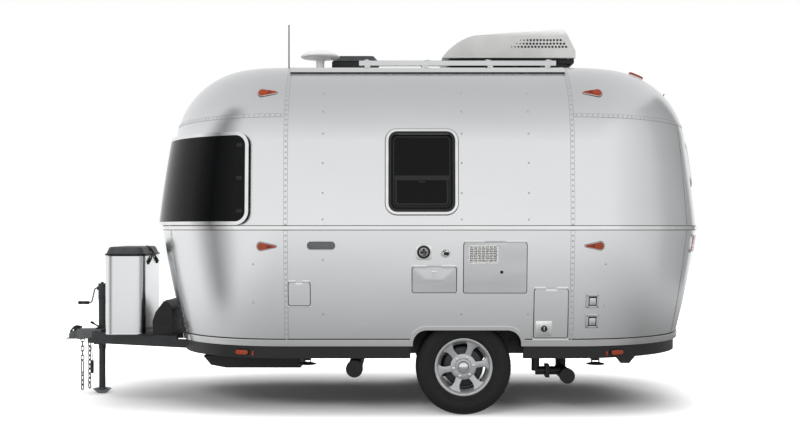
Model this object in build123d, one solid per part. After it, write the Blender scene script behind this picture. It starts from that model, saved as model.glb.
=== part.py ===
from build123d import *
import os
from math import atan2, cos, degrees, hypot, pi, radians, sin, sqrt

# Riveted aluminium travel caravan on one torsion axle, about 16 ft long.
# Millimetres. X runs along the trailer with the hitch at -X, Y across it with
# the street side at -Y and the entrance (kerb) side at +Y, Z up from the ground.
# X = 0 is the middle of the overall length, Y = 0 the middle of the width.

# ---------------------------------------------------------------- driving sizes
OVERALL_LENGTH = 4940.0       # nose of the coupler to the rear number-plate lamp
BODY_WIDTH = 2410.0           # shell skin to shell skin, at the belt line
BELT_Z = 1305.0               # widest height of the shell
BASE_Z = 488.0                # lower edge of the shell
ROOF_Z = 2503.0               # skin at the middle of the roof
ROOF_CROWN_RADIUS = 9000.0
SHOULDER_RADIUS = 610.0       # roll of the shell from wall to roof
WALL = 40.0                   # skin, ribs, insulation and lining together
MIDDLE_LENGTH = 1962.0        # straight part of the shell, seam to seam
FRONT_REACH = 1042.0          # front end cap, seam to nose at the belt
REAR_REACH = 1100.0           # rear end cap, seam to tail at the belt
NOSE_RADIUS = 2300.0          # plan radius of both ends, outside the corners
LAMP_PROUD = 14.0             # number-plate lamp past the tail
CLEARANCE = 5.0               # running gap round every moving panel
SEAT_GAP = 0.3                # gap under what is fastened on a curved skin
PIN_GAP = 0.1                 # radial play of a hinge pin

HALF_WIDTH = BODY_WIDTH / 2
SEAM_REAR = OVERALL_LENGTH / 2 - LAMP_PROUD - REAR_REACH
SEAM_FRONT = SEAM_REAR - MIDDLE_LENGTH
NOSE_X = -OVERALL_LENGTH / 2

# Plan of the shell at a few heights. Each row: height, how much narrower each
# side is than at the belt, and how much shorter the front and rear caps are.
UPPER_SECTIONS = (
    dict(z=BELT_Z, inset=0.0, front_less=0.0, rear_less=0.0),
    dict(z=BELT_Z + 595.0, inset=25.0, front_less=90.0, rear_less=84.0),
    dict(z=ROOF_Z + 57.0, inset=70.0, front_less=235.0, rear_less=200.0),
)
LOWER_SECTIONS = (
    dict(z=BELT_Z, inset=0.0, front_less=0.0, rear_less=0.0),
    dict(z=BELT_Z - 405.0, inset=40.0, front_less=70.0, rear_less=72.0),
    dict(z=BASE_Z, inset=98.0, front_less=170.0, rear_less=172.0),
)


# ------------------------------------------------------------------- the shell
def cap_arcs(seam, side, reach, half, z):
    """Corner and nose points of one end cap: two tangent arcs each way."""
    corner = (2 * reach * NOSE_RADIUS - reach**2 - half**2) / (2 * (NOSE_RADIUS - half))
    nose_centre = reach - NOSE_RADIUS
    corner_centre = half - corner
    span = hypot(nose_centre, corner_centre)
    join_x = nose_centre - NOSE_RADIUS * nose_centre / span
    join_y = NOSE_RADIUS * corner_centre / span
    middle = (atan2(join_y - corner_centre, join_x) + pi / 2) / 2
    mid_x, mid_y = corner * cos(middle), corner_centre + corner * sin(middle)

    def place(x, y):
        return Vector(seam + side * x, y, z)

    return place, (mid_x, mid_y), (join_x, join_y)


def plan_outline(section, offset=0.0):
    """Closed plan outline of the shell at one height, grown by offset."""
    half = HALF_WIDTH - section["inset"] + offset
    z = section["z"]
    edges = []
    for seam, side, reach in (
        (SEAM_REAR, 1, REAR_REACH - section["rear_less"] + offset),
        (SEAM_FRONT, -1, FRONT_REACH - section["front_less"] + offset),
    ):
        place, mid, join = cap_arcs(seam, side, reach, half, z)
        turn = -side
        start, end = place(0, turn * half), place(0, -turn * half)
        first, last = place(join[0], turn * join[1]), place(join[0], -turn * join[1])
        edges.append(Edge.make_three_point_arc(start, place(mid[0], turn * mid[1]), first))
        edges.append(Edge.make_three_point_arc(first, place(reach, 0), last))
        edges.append(Edge.make_three_point_arc(last, place(mid[0], -turn * mid[1]), end))
        other = SEAM_FRONT if side > 0 else SEAM_REAR
        edges.append(Edge.make_line(end, Vector(other, -turn * half, z)))
    return Wire(edges)


def hull(offset=0.0):
    """The solid inside the shell's skin, moved out by offset."""
    upper = Solid.make_loft([plan_outline(row, offset) for row in UPPER_SECTIONS])
    lower = Solid.make_loft([plan_outline(row, offset) for row in LOWER_SECTIONS])
    crown_radius = ROOF_CROWN_RADIUS + offset
    crown = Pos(0, 0, ROOF_Z - ROOF_CROWN_RADIUS) * Rot(0, 90, 0)
    upper = (upper & crown * Cylinder(crown_radius, 3 * OVERALL_LENGTH)).solid()
    rim = [edge for edge in upper.edges() if edge.center().Z > ROOF_Z - SHOULDER_RADIUS / 2]
    return upper.fillet(SHOULDER_RADIUS + offset, rim) + lower


def wall_y(z, offset=0.0):
    """Distance of the straight wall's skin from the middle plane at a height."""
    rows = LOWER_SECTIONS if z < BELT_Z else UPPER_SECTIONS
    (a, b, c) = [(row["z"] - BELT_Z, row["inset"]) for row in rows]
    t = z - BELT_Z
    inset = b[1] * t * (t - c[0]) / (b[0] * (b[0] - c[0]))
    inset += c[1] * t * (t - b[0]) / (c[0] * (c[0] - b[0]))
    return HALF_WIDTH - inset + offset


def slab(z_low, z_high):
    """Everything between two heights."""
    return Pos(0, 0, (z_low + z_high) / 2) * Box(2 * OVERALL_LENGTH, 2 * BODY_WIDTH, z_high - z_low)


def through_side(side, x, z, length, height, corner, grow=0.0):
    """Rounded block that passes through one side wall, grown by grow."""
    outline = RectangleRounded(length + 2 * grow, height + 2 * grow, corner + grow)
    return Pos(x, side * HALF_WIDTH, z) * Rot(90, 0, 0) * extrude(outline, HALF_WIDTH / 2, both=True)


def through_end(x, y, z, width, height, corner, turn=0.0, grow=0.0):
    """Rounded block that passes through an end cap, turned about its seam."""
    outline = RectangleRounded(width + 2 * grow, height + 2 * grow, corner + grow)
    block = extrude(Plane.YZ * outline, abs(x) / 3, both=True)
    seam = SEAM_FRONT if x < 0 else SEAM_REAR
    return Pos(seam, y, z) * Rot(0, 0, turn) * Pos(x - seam, 0, 0) * block


def tube(x, y, z, outer, inner, length, turn=(0, 0, 0)):
    """Pipe centred on a point, along Z unless it is turned."""
    ring = Circle(outer) - Circle(inner) if inner else Circle(outer)
    return Pos(x, y, z) * Rot(*turn) * extrude(ring, length / 2, both=True)


ALONG_X = (0, 90, 0)
ALONG_Y = (90, 0, 0)
OUTER = hull()
INNER = hull(-WALL)

# ---------------------------------------------------------------- running gear
TYRE_RADIUS = 334.0
TYRE_WIDTH = 215.0
RIM_RADIUS = 190.0            # bead seat of a 14 inch rim, with its flange
WHEEL_X = 621.0
WHEEL_FACE_Y = 1070.0         # outer sidewall of the tyre
HUB_RADIUS = 62.0
BORE_RADIUS = 22.0            # wheel bearing on the spindle
WHEEL_Y = WHEEL_FACE_Y - TYRE_WIDTH / 2

# ------------------------------------------------------------ chassis and floor
FLOOR_THICK = 26.0
FRAME_TOP = BASE_Z - FLOOR_THICK
FRAME_DEPTH = 76.0
RAIL_WIDTH = 50.0
RAIL_WALL = 5.0
RAIL_Y = 620.0                # middle of each long rail
SKIRT_DEPTH = 86.0            # dark sill under the shell's lower edge
SKIRT_THICK = 30.0
SKIRT_INSET = 6.0
SILL_LOW = BASE_Z - SKIRT_DEPTH

# ------------------------------------------------------------------ body fittings
BELT_TRIM_HEIGHT = 25.0
TRIM_PROUD = 15.0
BELT_SWING_ROOM = 28.0        # belt trim kept off the door's hinge line
BASE_TRIM_HEIGHT = 28.0
ARCH_LEFT, ARCH_RIGHT = WHEEL_X - 351.0, WHEEL_X + 389.0
ARCH_TOP = 600.0
ARCH_CORNER = 95.0
ARCH_TRIM = 24.0
WELL_CLEAR = 45.0             # tyre to wheel well
WELL_SHEET = 4.0

# Entrance door on the kerb side, hinged along its front edge.
DOOR_HINGE_X = -452.0
DOOR_WIDTH = 640.0
DOOR_LOW, DOOR_HIGH = BASE_Z + 34.0, 2170.0
DOOR_CORNER = 130.0
HINGE_RADIUS = 7.0
HINGE_PIN_RADIUS = 3.5
HINGE_Y = HALF_WIDTH + TRIM_PROUD - HINGE_RADIUS
DOOR_HINGES = (850.0, 1400.0, 1900.0)
HINGE_KNUCKLE = 30.0

# Side windows: name, side, middle x and z, glass size and corner.
WINDOW_FRAME = 28.0
WINDOWS = (
    dict(side=-1, x=327.0, z=1688.0, length=449.0, height=542.0),
    dict(side=1, x=700.0, z=1688.0, length=449.0, height=542.0),
)
WINDOW_CORNER = 55.0
GLASS_THICK = 6.0
REAR_WINDOW = dict(y=0.0, z=1790.0, width=620.0, height=300.0)
FRONT_WINDOWS = (             # turn about the front seam, width
    dict(turn=0.0, width=820.0),
    dict(turn=50.0, width=420.0),
    dict(turn=-50.0, width=420.0),
)
FRONT_WINDOW_Z, FRONT_WINDOW_HEIGHT = 1640.0, 440.0
DOOR_WINDOW = dict(x=DOOR_HINGE_X + 330.0, z=1750.0, length=360.0, height=420.0)

# Service hatches cut from the street wall: middle x and z, size, hinged edge.
HATCHES = (
    dict(name="small_hatch", x=-513.0, z=850.0, length=146.0, height=160.0, edge="top"),
    dict(name="storage_hatch", x=413.0, z=948.0, length=300.0, height=176.0, edge="top"),
    dict(name="appliance_door", x=830.0, z=1030.0, length=430.0, height=346.0, edge="top"),
    dict(name="utility_hatch", x=1216.0, z=715.0, length=230.0, height=340.0, edge="top"),
)
HATCH_CORNER = 16.0
HATCH_BARREL = 5.0
HATCH_PIN = 2.0
HATCH_PROUD = 3.0


def wheel_arch(side, grow=0.0):
    """Cut-out over a wheel, open below, with legs that spread a little."""
    flare = 12.0
    top = ARCH_TOP + grow
    with_legs = Polyline(
        (ARCH_LEFT - grow - flare, BASE_Z - 200),
        (ARCH_LEFT - grow, top),
        (ARCH_RIGHT + grow, top),
        (ARCH_RIGHT + grow + flare, BASE_Z - 200),
        close=True,
    )
    face = make_face(with_legs)
    corners = face.vertices().sort_by(Axis.Y)[-2:]
    face = fillet(corners, ARCH_CORNER + grow)
    return Pos(0, side * HALF_WIDTH, 0) * Rot(90, 0, 0) * extrude(face, HALF_WIDTH / 3, both=True)


def door_block(grow=0.0):
    """Outline of the entrance door, rounded about its hinge line."""
    height = DOOR_HIGH - DOOR_LOW
    block = through_side(
        1, DOOR_HINGE_X + DOOR_WIDTH / 2, (DOOR_LOW + DOOR_HIGH) / 2, DOOR_WIDTH, height, DOOR_CORNER, grow
    )
    sweep_round = Pos(DOOR_HINGE_X, HINGE_Y, BELT_Z) * Cylinder(DOOR_WIDTH + grow, 2 * BELT_Z)
    return block & sweep_round


def hatch_block(row, grow=0.0):
    """Outline of a hatch, its free edge rounded about the hinge line."""
    block = through_side(-1, row["x"], row["z"], row["length"], row["height"], HATCH_CORNER, grow)
    hinge_z, hinge_y = hatch_hinge(row)
    swing = Pos(row["x"], -hinge_y, hinge_z) * Rot(0, 90, 0)
    return block & swing * Cylinder(row["height"] + HATCH_BARREL + grow, row["length"] + 100)


def hatch_hinge(row):
    """Height and distance from the middle plane of a hatch's hinge line."""
    hinge_z = row["z"] + row["height"] / 2 + HATCH_BARREL
    return hinge_z, wall_y(hinge_z) + HATCH_BARREL + HATCH_PROUD


def shell_pieces():
    """Front cap, middle and rear cap of the shell, with every opening cut."""
    shell = OUTER - INNER
    for side in (-1, 1):
        shell -= wheel_arch(side)
    shell -= door_block(CLEARANCE)
    for row in HATCHES:
        shell -= hatch_block(row, CLEARANCE)
    for row in WINDOWS:
        shell -= through_side(row["side"], row["x"], row["z"], row["length"], row["height"], WINDOW_CORNER)
    rear = REAR_WINDOW
    rear_size = (rear["width"], rear["height"], WINDOW_CORNER)
    shell -= through_end(SEAM_REAR + REAR_REACH, rear["y"], rear["z"], *rear_size)
    for row in FRONT_WINDOWS:
        shell -= through_end(
            SEAM_FRONT - FRONT_REACH,
            0,
            FRONT_WINDOW_Z,
            row["width"],
            FRONT_WINDOW_HEIGHT,
            WINDOW_CORNER,
            row["turn"],
        )
    big = 2 * OVERALL_LENGTH
    front_side = Pos(SEAM_FRONT - big / 2, 0, 0) * Box(big, big, big)
    rear_side = Pos(SEAM_REAR + big / 2, 0, 0) * Box(big, big, big)
    return shell & front_side, shell - front_side - rear_side, shell & rear_side


# ------------------------------------------------------- windows and their frames
GLASS_SKIN = hull(-GLASS_THICK) - hull(-2 * GLASS_THICK)
PROUD_SKIN = hull(TRIM_PROUD) - OUTER
SHELL_WALL = OUTER - INNER


def window_frame(opening, wider, narrower):
    """Flange on the skin and a liner through the wall, in one piece."""
    flange = (PROUD_SKIN & wider) - narrower
    liner = (SHELL_WALL & opening) - narrower
    return flange + liner


def side_window_blocks(row, frame=WINDOW_FRAME / 2):
    """Opening, outside of the flange and clear glass of one side window."""
    size = (row["side"], row["x"], row["z"], row["length"], row["height"], WINDOW_CORNER)
    return through_side(*size), through_side(*size, grow=frame), through_side(*size, grow=-frame)


def rear_window_blocks(frame=WINDOW_FRAME / 2):
    row = REAR_WINDOW
    size = (SEAM_REAR + REAR_REACH, row["y"], row["z"], row["width"], row["height"], WINDOW_CORNER)
    return tuple(through_end(*size, grow=grow) for grow in (0, frame, -frame))


def front_window_blocks(row, grow):
    return through_end(
        SEAM_FRONT - FRONT_REACH,
        0,
        FRONT_WINDOW_Z,
        row["width"],
        FRONT_WINDOW_HEIGHT,
        WINDOW_CORNER,
        row["turn"],
        grow,
    )


def windows():
    """Frames and glass of the side, rear and front windows."""
    frames, panes = [], []
    blocks = [side_window_blocks(row) for row in WINDOWS] + [rear_window_blocks()]
    for opening, wider, narrower in blocks:
        frames += window_frame(opening, wider, narrower).solids()
        panes += (GLASS_SKIN & narrower).solids()
    for row in FRONT_WINDOWS:
        panes += (GLASS_SKIN & front_window_blocks(row, 0)).solids()
    return frames, panes


# Tinted guard that wraps the front windows, held off the shell on short posts.
GUARD_BACK_X = -858.0
GUARD_LOW, GUARD_HIGH = BELT_Z + 20.0, BELT_Z + 662.0
GUARD_CORNER = 96.0
GUARD_OFF = 22.0
GUARD_FRAME_THICK = 12.0
GUARD_PANE = 6.0
GUARD_EDGE = 24.0
GUARD_POST = 34.0


def guard_block(inset=0.0):
    length = OVERALL_LENGTH / 2
    outline = RectangleRounded(length, GUARD_HIGH - GUARD_LOW - 2 * inset, GUARD_CORNER - inset)
    block = Rot(90, 0, 0) * extrude(outline, BODY_WIDTH, both=True)
    return Pos(GUARD_BACK_X - inset - length / 2, 0, (GUARD_LOW + GUARD_HIGH) / 2) * block


def window_guard():
    """Bright frame on its posts, and the tinted pane inside it."""
    outside = hull(GUARD_OFF + GUARD_FRAME_THICK) & guard_block()
    inside = hull(GUARD_OFF) & guard_block()
    frame = outside - inside - guard_block(GUARD_EDGE)
    pane = (outside & guard_block(GUARD_EDGE)) - hull(GUARD_OFF + GUARD_FRAME_THICK - GUARD_PANE)
    posts = []
    for z in (GUARD_LOW + GUARD_EDGE / 2, GUARD_HIGH - GUARD_EDGE / 2):
        for side in (-1, 1):
            posts.append(through_side(side, GUARD_BACK_X - GUARD_CORNER - 60, z, GUARD_POST, GUARD_EDGE, 4))
        for turn in (-35.0, 0.0, 35.0):
            nose_x = SEAM_FRONT - FRONT_REACH
            posts.append(through_end(nose_x, 0, z, GUARD_POST, GUARD_EDGE, 4, turn))
    for post in posts:
        frame = frame.fuse(*((inside & post) - OUTER).solids())
    return frame, pane


# ------------------------------------------------------------------ entrance door
def hinge_side_bracket(z, x, length):
    """Plate from the hinge line back to the skin at one knuckle."""
    depth = HINGE_Y - wall_y(z) + WALL / 4
    return Pos(x + length / 2, HINGE_Y - depth / 2, z) * Box(length, depth, HINGE_KNUCKLE)


def entrance_door():
    door = SHELL_WALL & door_block()
    trim = PROUD_SKIN & slab(BELT_Z - BELT_TRIM_HEIGHT / 2, BELT_Z + BELT_TRIM_HEIGHT / 2)
    door += trim & door_block()
    row = DOOR_WINDOW
    size = (1, row["x"], row["z"], row["length"], row["height"], WINDOW_CORNER)
    opening, wider, narrower = (
        through_side(*size),
        through_side(*size, grow=WINDOW_FRAME / 2),
        through_side(*size, grow=-WINDOW_FRAME / 2),
    )
    door -= opening
    frame = window_frame(opening, wider, narrower)
    glass = GLASS_SKIN & narrower
    for z in DOOR_HINGES:
        arm = hinge_side_bracket(z, DOOR_HINGE_X, 46) - OUTER
        knuckle = tube(DOOR_HINGE_X, HINGE_Y, z, HINGE_RADIUS, 0, HINGE_KNUCKLE)
        bore = tube(DOOR_HINGE_X, HINGE_Y, z, HINGE_PIN_RADIUS + PIN_GAP, 0, 2 * HINGE_KNUCKLE)
        door += (arm + knuckle) - bore
    return door, frame, glass


def door_hinge_leaves():
    """Fixed halves of the door hinges: two knuckles and the pin in each."""
    leaves = Part()
    for z in DOOR_HINGES:
        for way in (-1, 1):
            knuckle_z = z + way * (HINGE_KNUCKLE + 1)
            arm = hinge_side_bracket(knuckle_z, DOOR_HINGE_X - 46, 46) - OUTER
            leaves += arm + tube(DOOR_HINGE_X, HINGE_Y, knuckle_z, HINGE_RADIUS, 0, HINGE_KNUCKLE)
        leaves += tube(DOOR_HINGE_X, HINGE_Y, z, HINGE_PIN_RADIUS, 0, 3 * HINGE_KNUCKLE)
    return leaves


# ---------------------------------------------------------------- service hatches
HATCH_SKIN = hull(HATCH_PROUD) - OUTER


def hatch_door(row):
    """Panel cut from the wall, with the middle knuckle of its piano hinge."""
    block = hatch_block(row)
    panel = (SHELL_WALL & block) + (HATCH_SKIN & block)
    hinge_z, hinge_y = hatch_hinge(row)
    knuckle_length = row["length"] / 3 - 1
    knuckle = tube(row["x"], -hinge_y, hinge_z, HATCH_BARREL, 0, knuckle_length, ALONG_X)
    leaf_height = HATCH_BARREL + CLEARANCE + HATCH_CORNER / 2
    leaf_depth = HATCH_BARREL + HATCH_PROUD + WALL / 4
    leaf_at = Pos(row["x"], -hinge_y + leaf_depth / 2, hinge_z - leaf_height / 2)
    leaf = leaf_at * Box(knuckle_length, leaf_depth, leaf_height)
    bore = tube(row["x"], -hinge_y, hinge_z, HATCH_PIN + PIN_GAP, 0, row["length"], ALONG_X)
    return panel + (leaf + knuckle - bore)


def hatch_hinge_leaves(row):
    """Two fixed knuckles, the pin and the strip that holds them to the wall."""
    hinge_z, hinge_y = hatch_hinge(row)
    third = row["length"] / 3
    leaves = tube(row["x"], -hinge_y, hinge_z, HATCH_PIN, 0, row["length"], ALONG_X)
    for way in (-1, 1):
        x = row["x"] + way * third
        leaves += tube(x, -hinge_y, hinge_z, HATCH_BARREL, 0, third, ALONG_X)
        strip_depth = HATCH_BARREL + HATCH_PROUD + 2
        strip = Box(third, strip_depth, 2 * HATCH_BARREL)
        strip = Pos(x, -hinge_y + strip_depth / 2, hinge_z + HATCH_BARREL) * strip
        leaves += strip - OUTER
    return leaves


# -------------------------------------------------------------------- mouldings
def mouldings():
    """Belt, base and wheel-arch trims and the drip rails along the roof edge."""
    belt_ring = PROUD_SKIN & slab(BELT_Z - BELT_TRIM_HEIGHT / 2, BELT_Z + BELT_TRIM_HEIGHT / 2)
    belt_ring -= door_block(CLEARANCE)
    belt_ring -= tube(DOOR_HINGE_X, HINGE_Y, BELT_Z, BELT_SWING_ROOM, 0, 2 * BELT_TRIM_HEIGHT)
    base_ring = PROUD_SKIN & slab(BASE_Z, BASE_Z + BASE_TRIM_HEIGHT)
    arches = []
    for side in (-1, 1):
        base_ring -= wheel_arch(side, ARCH_TRIM)
        arch = (PROUD_SKIN & wheel_arch(side, ARCH_TRIM)) - wheel_arch(side)
        arches += [piece for piece in arch.solids() if piece.center().Y * side > 0]
    return belt_ring, base_ring, arches


RAIL_LOW, RAIL_HIGH = 2412.0, 2458.0


def roof_rails():
    middle = Pos((SEAM_FRONT + SEAM_REAR) / 2, 0, 0) * Box(MIDDLE_LENGTH, BODY_WIDTH, 2 * OVERALL_LENGTH)
    return (PROUD_SKIN & slab(RAIL_LOW, RAIL_HIGH) & middle).solids()


# ---------------------------------------------------------------- chassis sizes
HITCH_X = NOSE_X + 62.0       # middle of the ball socket
BALL_SOCKET_RADIUS = 25.7     # for a 2 inch hitch ball
BALL_SOCKET_DEPTH = 24.0
COUPLER_TOP, COUPLER_LOW = 506.0, 430.0
TONGUE_TOP = BASE_Z           # drawbar ahead of the shell, where nothing lies over it
NOTCH_X = -1510.0             # where the drawbar steps down to pass under the floor
BEAM_DEPTH = 86.0             # drawbar beams
BEAM_WIDTH = 50.0
BEAM_NOSE_Y = 46.0            # middle of each beam where they meet the coupler
BEAM_NOSE_X = HITCH_X + 140.0
BEAM_TAIL_X = -930.0
CROSS_MEMBERS = (-1330.0, -905.0, -300.0, 260.0, 1020.0, 1600.0, 2040.0)
RAIL_TAIL_X = 2080.0
OUTRIGGERS = (-590.0, 165.0, 1090.0, 1450.0)
OUTRIGGER_SHORT = 20.0        # end of an outrigger to the sill
JACK_X = -2180.0
JACK_TUBE_RADIUS = 28.5
JACK_LEG_RADIUS = 25.0
JACK_TOP = 866.0
JACK_TUBE_LOW = 352.0
JACK_PLAY = 0.3
JACK_OVERLAP = 190.0          # leg left inside the tube as it stands
JACK_PLATE = 76.0
JACK_PLATE_THICK = 8.0
FOOT_RADIUS = 69.0
CRANK_Z = 828.0
CRANK_SHAFT_RADIUS = 8.0
CRANK_THROW = 115.0
COUPLER_HALF_WIDTH = 41.0
CHAIN_RADIUS = 11.0
CHAINS = (
    dict(x=HITCH_X + 80.0, y=-30.0, length=406.0),
    dict(x=HITCH_X + 120.0, y=30.0, length=396.0),
)


def beam(start, end, hollow=True):
    """Drawbar box section between two points of the plan, let down under the floor."""
    run = hypot(end[0] - start[0], end[1] - start[1])
    angle = degrees(atan2(end[1] - start[1], end[0] - start[0]))
    section = Box(run, BEAM_WIDTH, BEAM_DEPTH)
    if hollow:
        section -= Box(run + 1, BEAM_WIDTH - 2 * RAIL_WALL, BEAM_DEPTH - 2 * RAIL_WALL)
    middle = Pos((start[0] + end[0]) / 2, (start[1] + end[1]) / 2, TONGUE_TOP - BEAM_DEPTH / 2)
    notch = Box(2 * BODY_WIDTH, 2 * BODY_WIDTH, BODY_WIDTH)
    notch = Pos(NOTCH_X + BODY_WIDTH, 0, FRAME_TOP + BODY_WIDTH / 2) * notch
    return middle * Rot(0, 0, angle) * section - notch


def drawbar(hollow=True):
    """The two beams that spread from the coupler to the long rails."""
    return [
        beam((BEAM_NOSE_X, side * BEAM_NOSE_Y), (BEAM_TAIL_X, side * RAIL_Y), hollow)
        for side in (-1, 1)
    ]


def drawbar_y(x):
    """Middle of a drawbar beam at a distance along the trailer."""
    share = (x - BEAM_NOSE_X) / (BEAM_TAIL_X - BEAM_NOSE_X)
    return BEAM_NOSE_Y + share * (RAIL_Y - BEAM_NOSE_Y)


def outrigger(x, side):
    """Tapered bracket from a long rail out to the sill."""
    inner_y = RAIL_Y + RAIL_WIDTH / 2
    outer_y = wall_y(BASE_Z) - SKIRT_INSET - SKIRT_THICK - OUTRIGGER_SHORT
    outline = Polyline(
        (inner_y, FRAME_TOP),
        (outer_y, FRAME_TOP),
        (outer_y, FRAME_TOP - RAIL_WIDTH / 2),
        (inner_y, FRAME_TOP - FRAME_DEPTH),
        close=True,
    )
    plate = Pos(x, 0, 0) * extrude(Plane.YZ * make_face(outline), RAIL_WALL / 2, both=True)
    return plate if side > 0 else mirror(plate, Plane.XZ)


def long_rails():
    """The two channels that run back from the drawbar, open to the inside."""
    rail_length = RAIL_TAIL_X - BEAM_TAIL_X + 2 * RAIL_WIDTH
    rail_x = (RAIL_TAIL_X + BEAM_TAIL_X) / 2 - RAIL_WIDTH
    rails, blocks = [], []
    for side in (-1, 1):
        place = Pos(rail_x, side * RAIL_Y, FRAME_TOP - FRAME_DEPTH / 2)
        block = Box(rail_length, RAIL_WIDTH, FRAME_DEPTH)
        hollow = Box(rail_length + 1, RAIL_WIDTH, FRAME_DEPTH - 2 * RAIL_WALL)
        rails.append(place * (block - Pos(0, -side * RAIL_WALL, 0) * hollow))
        blocks.append(place * block)
    return rails, blocks


def chassis():
    """Drawbar, long rails, cross members, outriggers and jack plates, butted together."""
    rails, rail_blocks = long_rails()
    beams = drawbar()
    for index, block in enumerate(rail_blocks):
        beams[index] -= block
    members = []
    member_depth = FRAME_DEPTH - 2 * RAIL_WALL
    for x in CROSS_MEMBERS:
        reach = RAIL_Y + RAIL_WIDTH / 2 - RAIL_WALL if x > BEAM_TAIL_X else drawbar_y(x)
        member = Box(RAIL_WIDTH, 2 * reach, member_depth)
        member -= Box(RAIL_WIDTH - 2 * RAIL_WALL, 2 * reach + 1, member_depth - 2 * RAIL_WALL)
        member = Pos(x, 0, FRAME_TOP - FRAME_DEPTH / 2) * member
        for solid_beam in drawbar(hollow=False):
            member -= solid_beam
        members.append(member)
    plates = []
    plate = Box(JACK_PLATE, 2 * drawbar_y(JACK_X) + BEAM_WIDTH, JACK_PLATE_THICK)
    for z in (TONGUE_TOP + JACK_PLATE_THICK / 2, TONGUE_TOP - BEAM_DEPTH - JACK_PLATE_THICK / 2):
        jack_hole = tube(JACK_X, 0, z, JACK_TUBE_RADIUS, 0, 2 * JACK_PLATE_THICK)
        plates.append(Pos(JACK_X, 0, z) * plate - jack_hole)
    brackets = [outrigger(x, side) for x in OUTRIGGERS for side in (-1, 1)]
    return beams + rails + members + plates + brackets


def coupler():
    """Pressed ball coupler with its socket open below."""
    straight_x, tail_x = HITCH_X + 60, JACK_X - JACK_PLATE / 2 - 2
    half_nose, half_tail = COUPLER_HALF_WIDTH, BEAM_NOSE_Y + BEAM_WIDTH / 2
    sides = Polyline(
        (straight_x, -half_nose), (tail_x, -half_tail), (tail_x, half_tail), (straight_x, half_nose)
    )
    nose = ThreePointArc((straight_x, half_nose), (NOSE_X, 0), (straight_x, -half_nose))
    body = Pos(0, 0, COUPLER_LOW) * extrude(make_face(sides + nose), COUPLER_TOP - COUPLER_LOW)
    body = fillet(body.faces().sort_by(Axis.Z)[-1].edges(), 12)
    body -= tube(HITCH_X, 0, COUPLER_LOW, BALL_SOCKET_RADIUS, 0, 2 * BALL_SOCKET_DEPTH)
    body -= Pos(HITCH_X, 0, COUPLER_LOW + BALL_SOCKET_DEPTH) * Sphere(BALL_SOCKET_RADIUS)
    for solid_beam in drawbar(hollow=False):
        body -= solid_beam
    return max(body.solids(), key=lambda piece: piece.volume)


def coupler_latch():
    """Lever over the coupler that locks the ball in."""
    lever = Pos(HITCH_X + 45, 0, COUPLER_TOP + 17) * Rot(0, 7, 0) * Box(92, 30, 8)
    post = Pos(HITCH_X + 62, 0, COUPLER_TOP + 10) * Box(28, 22, 20)
    grip = Pos(HITCH_X + 4, 0, COUPLER_TOP + 22) * Rot(0, 7, 0) * Cylinder(17, 9)
    return lever + post + grip


def safety_chains():
    """Two chains that hang from the coupler, as their outer shape."""
    return [
        tube(row["x"], row["y"], COUPLER_LOW - row["length"] / 2, CHAIN_RADIUS, 0, row["length"])
        for row in CHAINS
    ]


# -------------------------------------------------------------------- tongue jack
def jack_tube():
    """Outer tube through the drawbar, with the gear head on top."""
    body_length = JACK_TOP - JACK_TUBE_LOW
    middle_z = (JACK_TOP + JACK_TUBE_LOW) / 2
    body = tube(JACK_X, 0, middle_z, JACK_TUBE_RADIUS, JACK_LEG_RADIUS + JACK_PLAY, body_length)
    head = Pos(JACK_X, 0, JACK_TOP - 8) * Cylinder(JACK_TUBE_RADIUS + 3, 16)
    nut = Pos(JACK_X, 0, JACK_TOP + 6) * Cylinder(11, 12)
    flange = tube(JACK_X, 0, TONGUE_TOP + JACK_PLATE_THICK + 5, JACK_PLATE / 2 - 4, JACK_TUBE_RADIUS, 10)
    boss = tube(JACK_X - JACK_TUBE_RADIUS - 5, 0, CRANK_Z, 15, CRANK_SHAFT_RADIUS + PIN_GAP, 14, ALONG_X)
    shaft_hole = tube(JACK_X - JACK_TUBE_RADIUS, 0, CRANK_Z, CRANK_SHAFT_RADIUS + PIN_GAP, 0, 30, ALONG_X)
    return body + head + nut + flange + boss - shaft_hole


def jack_leg():
    """Inner tube and dished foot plate."""
    foot_height = 46.0
    leg_top = JACK_TUBE_LOW + JACK_OVERLAP
    leg = Pos(JACK_X, 0, (foot_height + leg_top) / 2) * Cylinder(JACK_LEG_RADIUS, leg_top - foot_height + 8)
    outline = Polyline(
        (0, 0),
        (FOOT_RADIUS, 0),
        (FOOT_RADIUS, 8),
        (JACK_LEG_RADIUS + 16, 20),
        (JACK_LEG_RADIUS + 9, foot_height),
        (0, foot_height),
        close=True,
    )
    foot = Pos(JACK_X, 0, 0) * revolve(Plane.XZ * make_face(outline), Axis.Z)
    return leg + foot


def jack_crank():
    """Side-wind crank: shaft, arm and grip."""
    shaft_x = JACK_X - JACK_TUBE_RADIUS - 4
    tip_x = shaft_x - 42
    shaft_end = JACK_X - JACK_LEG_RADIUS - 1.5
    shaft = tube((shaft_end + tip_x) / 2, 0, CRANK_Z, CRANK_SHAFT_RADIUS, 0, shaft_end - tip_x, ALONG_X)
    arm = Pos(tip_x, 0, CRANK_Z - CRANK_THROW / 2) * Box(10, 22, CRANK_THROW + 22)
    grip = tube(tip_x - 50, 0, CRANK_Z - CRANK_THROW, 12, 0, 92, ALONG_X)
    return shaft + arm + grip


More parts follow.
